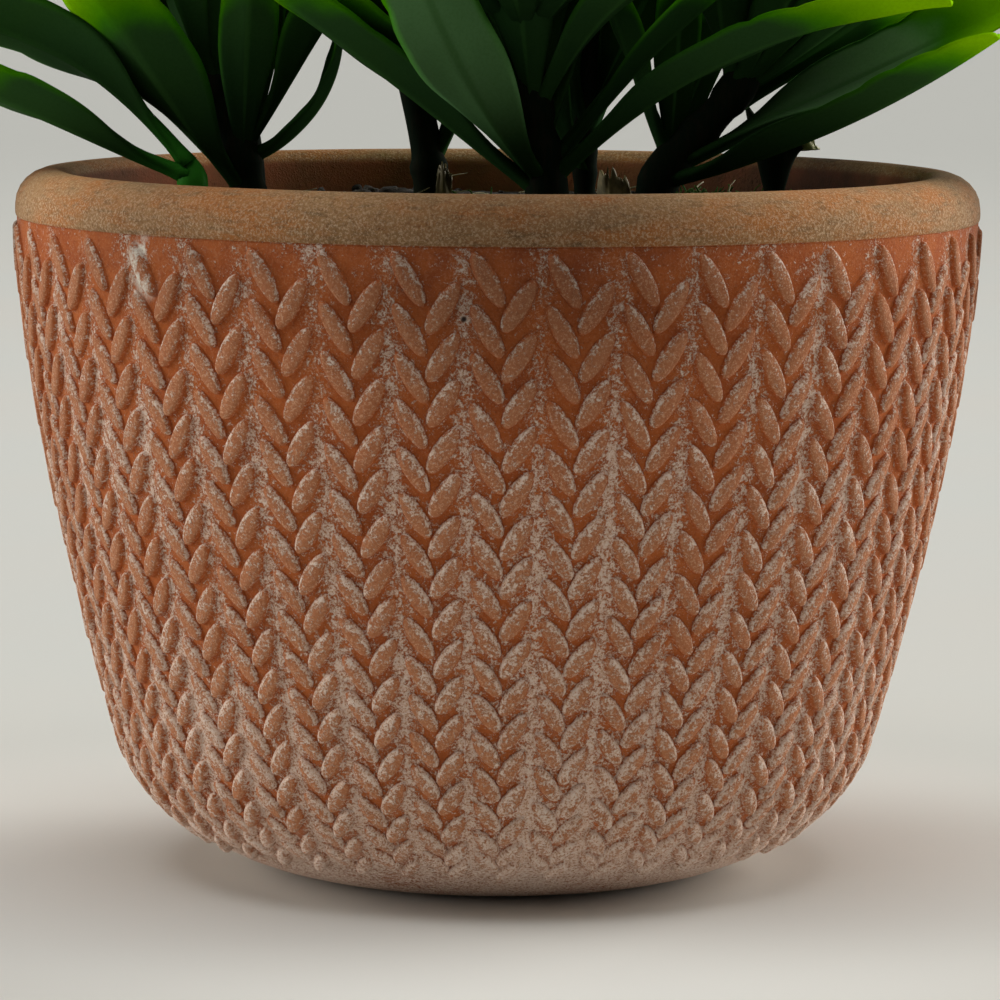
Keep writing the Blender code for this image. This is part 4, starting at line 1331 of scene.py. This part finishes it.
def sheet_between(grid, thick):
    """A closed thin sheet from a grid of points, given thickness along its own normals."""
    rows, cols = len(grid), len(grid[0])
    points = []
    for side in (-0.5, 0.5):
        for r in range(rows):
            for c in range(cols):
                down = grid[min(r + 1, rows - 1)][c] - grid[max(r - 1, 0)][c]
                over = grid[r][min(c + 1, cols - 1)] - grid[r][max(c - 1, 0)]
                points.append(grid[r][c] + over.cross(down).normalized() * thick * side)
    count = rows * cols
    faces = []
    for r in range(rows - 1):
        for c in range(cols - 1):
            a, b = r * cols + c, r * cols + c + 1
            faces += [[a, b, b + cols, a + cols], [v + count for v in (a + cols, b + cols, b, a)]]
    edge = list(range(cols)) + [r * cols + cols - 1 for r in range(1, rows)]
    edge += [(rows - 1) * cols + c for c in range(cols - 2, -1, -1)]
    edge += [r * cols for r in range(rows - 2, 0, -1)]
    faces += [[a, b, b + count, a + count] for a, b in zip(edge, edge[1:] + edge[:1])]
    return points, faces


def build_husk(name, material):
    """A dry scale of sheath: bowed, a little wavy and torn along its top."""
    foot, azimuth, half, height = HUSKS[name]
    chance = random.Random(name)
    out, side = heading(azimuth, 0), heading(azimuth + 90, 0)
    base = Vector((*foot, 0)) * MM
    base.z = soil_height(base.length)
    torn = []
    for _ in range(HUSK_COLUMNS):
        torn.append(chance.uniform(*HUSK_TORN) + (HUSK_TATTER if chance.random() < TATTER_CHANCE else 0))
    grid = []
    for share in np.linspace(0, 1, HUSK_ROWS):
        line = []
        for c, across in enumerate(np.linspace(-1, 1, HUSK_COLUMNS)):
            wide = 0.8 + 0.45 * share - 0.55 * share * share
            bow = half * HUSK_BOW * (1 - across * across) + HUSK_LEAN * share
            bow += HUSK_CURL * math.sin(5 * across + 4 * share) * share
            rise = height * share * (1 - HUSK_SLANT * across + torn[c] * share)
            line.append(base + (side * (across * half * wide) + out * bow + Vector((0, 0, rise))) * MM)
        grid.append(line)
    points, faces = sheet_between(grid, HUSK_SHEET)
    put("dry_" + name, points, faces, material, name)


def build_cut_shoot(material):
    """The cut-off shoot: flattened, ribbed, wider at its ragged, hollow cut."""
    chance = random.Random(CUT_SHOOT_SEED)
    foot = Vector((*CUT_SHOOT_FOOT, STEM_BASE / MM))
    top = CUT_SHOOT_STATIONS[-1][0]
    levels, halves, depths = zip(*CUT_SHOOT_STATIONS)
    sides = SHOOT_SHOWN_SIDES
    ragged = [chance.uniform(-1, 1) * CUT_SHOOT_RAGGED for _ in range(sides)]
    points = []
    heights = list(np.linspace(levels[0], top, SHOOT_SHOWN_LEVELS))
    for z in heights:
        half, depth = np.interp(z, levels, halves), np.interp(z, levels, depths)
        share = max(0.0, z / top)
        for k in range(sides):
            a = math.tau * k / sides
            rib = 1 + SHOOT_RIB_DEPTH * math.sin(SHOOT_RIBS * a) * share
            cut = (ragged[k] - CUT_SHOOT_SLANT * math.cos(a)) * share**3
            spot = Vector((half * rib * math.cos(a), depth * rib * math.sin(a), z + cut))
            points.append((foot + spot) * MM)
    for shrink, drop in SHOOT_LIPS:
        for k in range(sides):
            a = math.tau * k / sides
            cut = ragged[k] - CUT_SHOOT_SLANT * math.cos(a)
            spot = Vector((halves[-1] * math.cos(a), depths[-1] * math.sin(a), cut)) * shrink
            points.append((foot + spot + Vector((0, 0, top - drop))) * MM)
    marks = {"blade": [(0.0, 0.5, 0.0)] * len(points), "growth": [(0.1, 0.0, 0.0)] * len(points)}
    faces = tube_faces(len(heights) + len(SHOOT_LIPS), sides)
    put("cut_shoot_end", points, faces, material, "cut_shoot", marks)


def build_scrap(material):
    """The frayed pale membrane at the cut shoot's tip."""
    chance = random.Random(SCRAP_SEED)
    start = Vector(SCRAP_FOOT) * MM
    grid = []
    torn = [chance.uniform(*SCRAP_TORN) for _ in range(SCRAP_COLUMNS)]
    for share in np.linspace(0, 1, SCRAP_ROWS):
        line = []
        for c, across in enumerate(np.linspace(0, 1, SCRAP_COLUMNS)):
            out = 0.4 + SCRAP_WIDTH * across + 0.5 * share * math.sin(5 * across)
            rise = SCRAP_HEIGHT * share * math.sin(math.pi * (0.12 + 0.8 * across))
            rise += torn[c] * share * share + 0.5 * across
            line.append(start + Vector((out, 0.7 * math.sin(7 * across + 3 * share), rise)) * MM)
        grid.append(line)
    points, faces = sheet_between(grid, SCRAP_THICK)
    put("frayed_scrap", points, faces, material)


# The finishes


def place(base):
    """Where a point of the surface is, in metres in the plant's own frame."""
    return base.node("TexCoord", out=3)


def marked(base, name):
    return base.node("Attribute", {"attribute_name": name}, out=1)


def bump(base, height, strength, depth):
    return base.node("Bump", {}, {"Strength": strength, "Distance": depth, "Height": height})


def near(base, spot, centre, radius, soft):
    """1 within radius of a point of the surface and 0 beyond it, over a soft edge."""
    away = base.node("VectorMath", {"operation": "DISTANCE"}, {0: spot, 1: centre}, out=1)
    return away.step(radius + soft, radius)


def clay_finish():
    """Unglazed fired clay: tan rim, orange hollows, brown seeds and lime bloom, thicker further down, with
    painted shade on the rim's front, the inside and a pit, and a painted highlight mixed into the lime on
    the seeds' upper edges.
    """
    made, base = finish("fired_clay")
    spot = place(base)
    relief = marked(base, "relief")
    drift = marked(base, "drift")
    lift, zone, own = relief.part(0), relief.part(1), relief.part(2)
    upper, valley = drift.part(0), drift.part(1)
    low = 1 - spot.part(2) * (1 / POT_HEIGHT)
    speck = spot.grain(*CLAY_SPECK) * 0.55 + spot.grain(*CLAY_COARSE_SPECK) * 0.45
    fleck = spot.grain(*CLAY_FLECK)
    blotch = spot.grain(*CLAY_BLOTCH)
    patch = spot.grain(*CLAY_PATCH)
    grit = spot.grain(*CLAY_GRIT)

    # The braid's seeds and hollows
    seed = (own * 0.5 + patch * 0.5).mix(SEED_BROWN, SEED_TAN)
    hollow = patch.step(0.35, 0.7).mix(HOLLOW_ORANGE, HOLLOW_RUST)
    top = lift.step(0.45, 0.9)
    wall = top.mix(hollow, seed)
    wall = (low.step(0.3, 1.0) * (0.12 + top * 0.25)).mix(wall, BLEACHED)
    wall = (fleck.step(0.5, 0.75) * 0.45).tint(wall, WALL_FLECKS)

    # Loose grit, less of it in the hollows
    sunk = (1 - lift.step(0.1, 0.6)) * (1 - valley)
    wall = (grit.step(0.5, 0.62) * (0.55 - sunk * 0.42)).mix(wall, GRIT)
    wall = (speck.step(0.57, 0.67) * (0.42 - sunk * 0.3)).mix(wall, LIME)

    # The lime bloom, which gathers on the seeds' upper edges and thickens towards the foot; on the upper
    # edges the pale is partly lime and partly a painted highlight
    edge = lift.step(0.05, 0.45) * (1 - lift.step(0.85, 1.05)) * upper
    lime_and_highlight = edge * 0.5 + valley * (1 - lift.step(0.2, 0.7)) * 0.45
    amount = low * 0.5 + (blotch - 0.5) * 0.8 + (patch - 0.5) * 0.6 + lime_and_highlight - 0.04
    limed = (speck + amount.clamp() * 0.27).step(0.59, 0.7)
    foot = low.step(0.86, 0.97)
    limed = (limed + foot * (speck + blotch * 0.4).step(0.48, 0.7) * 0.9).clamp() * (0.85 + foot * 0.15)
    wall = (foot * spot.grain(*FOOT_STAIN).step(0.5, 0.62) * 0.6).mix(wall, FOOT_RUST)
    wall = limed.mix(wall, grit.step(0.36, 0.6).mix(GRIT, foot.mix(LIME, FOOT_LIME)))
    pinhole = (1 - grit.step(0.36, 0.46)) * (0.75 - foot * 0.12) * limed.clamp()
    wall = pinhole.mix(wall, PINHOLE)

    # The smooth rim, streaked and brushed
    streak = spot.stretched(1, 1, 3.2).grain(*RIM_STREAK)
    rim = streak.step(0.4, 0.66).mix(RIM_TAN, RIM_ORANGE)
    brushed = spot.stretched(1, 1, 5).grain(*RIM_BRUSHED)
    rim = (brushed.step(0.5, 0.72) * 0.65).mix(rim, RIM_UMBER)
    ledge = 1 - (spot.part(2) * (1 / POT_HEIGHT)).step(0.95, 0.985)
    sandy = (grit.step(0.48, 0.6) * (0.5 + ledge * 0.25 + (patch - 0.5) * 0.5)).clamp()
    rim = sandy.mix(rim, RIM_PALE)
    rim = (fleck.step(0.5, 0.68) * 0.45).tint(rim, RIM_FLECKS)

    # All together, with the inside, painted shade on the rim's front and the inside, a dab of plaster and
    # a pit's painted shade
    inside = patch.step(0.3, 0.7).mix(INSIDE_RED, INSIDE_BROWN)
    colour = zone.step(0.2, 0.8).mix(wall, rim)
    colour = zone.step(1.2, 1.8).mix(colour, inside)
    # Painted shade where leaves shade the rim's front and the inside
    for centre, radius, soft, darkness in PAINTED_SHADE_SPOTS:
        centre = Vector((centre[0], centre[1], centre[2] * PAINTED_SHADE_SQUEEZE)) * MM
        shade_spot = near(base, spot.stretched(1, 1, PAINTED_SHADE_SQUEEZE), centre, radius * MM, soft * MM)
        colour = (shade_spot * (darkness + (patch - 0.5) * 0.4)).clamp().tint(colour, SHADE_GREY)
    plaster = near(base, spot.stretched(1, 1, 0.6), PLASTER_SEEN, 2.0 * MM, 2.0 * MM)
    colour = (plaster * (patch + speck * 0.5).step(0.62, 0.78)).mix(colour, PLASTER)
    # A pit's painted shade, a dark spot on the smooth wall
    pit = near(base, spot, PIT_SPOT, 0.45 * MM, 0.35 * MM)
    colour = pit.mix(colour, PIT_PAINTED_SHADE)

    rough = grit * 0.5 + speck * 0.4 + fleck * 0.2 + limed * 0.5 + patch * 0.3
    grainy = bump(base, rough, 0.75, 0.45 * MM)
    dress(base, base_color=colour, roughness=0.92, specular_ior_level=0.2, normal=grainy)
    return made


def leaf_finish():
    """Waxy green, yellow-green towards the tip and along the margin, with a paler underside; the tips are
    brightened as painted back-light and two leaves carry painted sheen.
    """
    made, base = finish("leaf_green")
    spot = place(base)
    blade, growth = marked(base, "blade"), marked(base, "growth")
    u, v, under = blade.part(0), blade.part(1), blade.part(2)
    tone, fresh, leaf = growth.part(0), growth.part(1), growth.part(2)
    pale_sheen = (0 - fresh).clamp() * u.step(0.1, 0.3)
    greyer_sheen = (0 - fresh - 1).clamp()
    pale_sheen = pale_sheen * (1 - greyer_sheen * (1 - u.step(0.2, 0.65)) * 0.85)
    cloud, fine = spot.grain(*LEAF_CLOUD), spot.grain(*LEAF_FINE)

    # How far the yellow reaches
    reach = u + v * v * 0.09 + (cloud - 0.5) * 0.16 + (tone - 0.5) * 0.12
    tip = reach.step(0.53, 0.64)
    rimmed = v.step(0.8, 1.0) * (u + tone * 0.1).step(0.25, 0.55)
    yellow = (tip + rimmed * 0.75).clamp() * leaf

    # The green face and back, the pale leaves with their painted sheen, and the vein
    face = u.step(0.1, 0.5).mix(LEAF_DARK, LEAF_MID)
    back = u.step(0.1, 0.5).mix(BACK_DARK, BACK_MID)
    green = under.mix(face, back)
    green = (pale_sheen * (0.75 + cloud * 0.3)).clamp().mix(green, greyer_sheen.mix(PALE_SHEEN_GREEN, GREY_SHEEN_GREEN))
    green = ((cloud - 0.35).clamp() * 0.8).mix(green, LEAF_WARM)
    vein = (1 - v.step(0.03, 0.14)) * u.step(0.03, 0.2) * leaf
    green = (vein * 0.45).mix(green, VEIN_GREEN)

    # The tips' real yellowing, brightened as painted back-light
    backlit_tips = reach.step(0.58, 0.8).mix(BACKLIT_TIP_GREEN, BACKLIT_TIP_YELLOW)
    colour = yellow.mix(green, backlit_tips)
    colour = (fresh.clamp() * (1 - u.step(0.02, 0.2))).mix(colour, FRESH_GREEN)
    colour = ((fine - 0.4).clamp() * 0.9).tint(colour, LEAF_FLECKS)
    rough, uneven = 0.58 - yellow * 0.05, bump(base, fine * 0.25 + cloud * 0.5, 0.25, 0.25 * MM)
    dress(base, base_color=colour, roughness=rough, specular_ior_level=0.002, normal=uneven)
    return made


def stem_finish():
    """Old stem skin: nearly black green, dull, with fine ribs up it. The side shoot is fresh."""
    made, base = finish("stem_skin")
    spot = place(base)
    rib = spot.stretched(1, 1, 0.15).grain(*STEM_FINE)
    fresh = marked(base, "growth").part(1)
    colour = rib.step(0.4, 0.7).mix(STEM_GREEN, STEM_BROWN)
    colour = fresh.mix(colour, FRESH_GREEN)
    rough, ribbed = 0.75 - fresh * 0.35, bump(base, rib, 0.4, 0.2 * MM)
    dress(base, base_color=colour, roughness=rough, specular_ior_level=0.01, normal=ribbed)
    return made


def soil_finish():
    made, base = finish("damp_soil")
    spot = place(base)
    lump, dust = spot.grain(*SOIL_LUMP), spot.grain(*SOIL_DUST)
    colour = lump.step(0.35, 0.68).mix(SOIL_BLACK, SOIL_BROWN)
    colour = (dust.step(0.62, 0.74) * 0.5).mix(colour, SOIL_PALE)
    lumpy = bump(base, lump + dust * 0.4, 0.8, 0.7 * MM)
    dress(base, base_color=colour, roughness=0.95, normal=lumpy)
    return made


def moss_finish():
    made, base = finish("moss_green")
    tone = marked(base, "strand").part(0)
    colour = tone.step(0.1, 0.9).mix(MOSS_GREEN, MOSS_YELLOW)
    colour = (place(base).grain(*MOSS_FINE) * 0.5).tint(colour, MOSS_FLECKS)
    dress(base, base_color=colour, roughness=0.8, specular_ior_level=0.1)
    return made


def husk_finish(name, dull, bright):
    """Dry papery skin with fine veins that run up it."""
    made, base = finish(name)
    spot = place(base)
    vein = spot.stretched(1, 1, 0.12).grain(*HUSK_VEIN)
    stain = spot.grain(*HUSK_STAIN)
    colour = stain.step(0.36, 0.66).mix(dull, bright)
    colour = (vein.step(0.42, 0.6) * 0.5).tint(colour, HUSK_FLECKS)
    dress(base, base_color=colour, roughness=0.65, normal=bump(base, vein, 0.4, 0.2 * MM))
    return made


def floor_finish():
    made, base = finish("pale_floor")
    spot = place(base)
    cloud, fibre = spot.grain(*FLOOR_CLOUD), spot.grain(*FLOOR_FIBRE)
    colour = cloud.step(0.3, 0.7).mix(FLOOR_COOL, FLOOR_WARM)
    away = base.node("VectorMath", {"operation": "LENGTH"}, {0: spot}, out=1)
    # Painted shade: the floor darkens with distance as light falls off
    colour = away.step(*FLOOR_FALLOFF_RADII).mix(colour, FLOOR_PAINTED_FALLOFF)
    # A painted pool of light on the floor round the pot
    colour = away.step(*FLOOR_PAINTED_POOL_RADII).mix(FLOOR_PAINTED_POOL, colour)
    woven = bump(base, fibre, 0.06, 0.3 * MM)
    dress(base, base_color=colour, roughness=0.8, specular_ior_level=0.2, normal=woven)
    return made


# The stage


def build_stage():
    """A wide pale floor, soft light from both sides and above, and the camera."""
    mesh = bpy.data.meshes.new("floor")
    corners = [(x * FLOOR_REACH, y * FLOOR_REACH, 0) for x, y in ((-1, -1), (1, -1), (1, 1), (-1, 1))]
    mesh.from_pydata(corners, [], [[0, 1, 2, 3]])
    floor = bpy.data.objects.new("floor", mesh)
    bpy.context.scene.collection.objects.link(floor)
    mesh.materials.append(floor_finish())
    for name, source, width, strength, colour in LIGHTS:
        lamp = bpy.data.lights.new(name, "SUN")
        lamp.angle = math.radians(width)
        lamp.energy = strength
        lamp.color = colour
        light = bpy.data.objects.new(name, lamp)
        light.rotation_euler = Vector(source).to_track_quat("Z", "Y").to_euler()
        bpy.context.scene.collection.objects.link(light)
    world = bpy.data.worlds.new("surroundings")
    world.use_nodes = True
    shade = world.node_tree.nodes["Background"]
    shade.inputs["Color"].default_value = SURROUNDINGS
    shade.inputs["Strength"].default_value = SURROUNDINGS_LIGHT
    bpy.context.scene.world = world
    bpy.context.scene.view_settings.view_transform = "Standard"
    camera = bpy.data.objects.new("camera", bpy.data.cameras.new("camera"))
    camera.data.lens = CAMERA_LENS
    camera.data.sensor_width = CAMERA_SENSOR
    camera.data.clip_start = CAMERA_NEAR
    camera.data.shift_x = CAMERA_SHIFT
    pitch = math.radians(CAMERA_PITCH)
    ahead = Vector((0, math.cos(pitch), -math.sin(pitch)))
    above = Vector((0, math.sin(pitch), math.cos(pitch)))
    turned = Matrix((Vector((1, 0, 0)), above, -ahead)).transposed().to_4x4()
    spot = Matrix.Translation(Vector((0, 0, CAMERA_AIM)) - ahead * CAMERA_DISTANCE)
    camera.matrix_world = spot @ turned @ Matrix.Rotation(math.radians(CAMERA_ROLL), 4, "Z")
    bpy.context.scene.collection.objects.link(camera)
    bpy.context.scene.camera = camera


def main():
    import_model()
    clay, leaf, bark, soil = clay_finish(), leaf_finish(), stem_finish(), soil_finish()
    husk = husk_finish("dry_husk", HUSK_DULL, HUSK_BRIGHT)
    fibre = husk_finish("dry_fibre", FIBRE_DULL, FIBRE_BRIGHT)
    scrap = husk_finish("frayed_skin", SCRAP_DULL, SCRAP_BRIGHT)
    build_pot(clay)
    build_soil(soil)
    build_crumbs(soil)
    build_moss(moss_finish())
    build_fibres(fibre)
    plan = plan_leaves([tree(cut_shoot_mesh())] + [tree(husk_mesh(*size)) for size in HUSKS.values()])
    for stem in STEMS:
        build_shown_stem(stem, plan[stem.name], leaf, bark)
    build_cut_shoot(bark)
    for name in HUSKS:
        build_husk(name, husk)
    build_scrap(scrap)
    build_stage()


main()
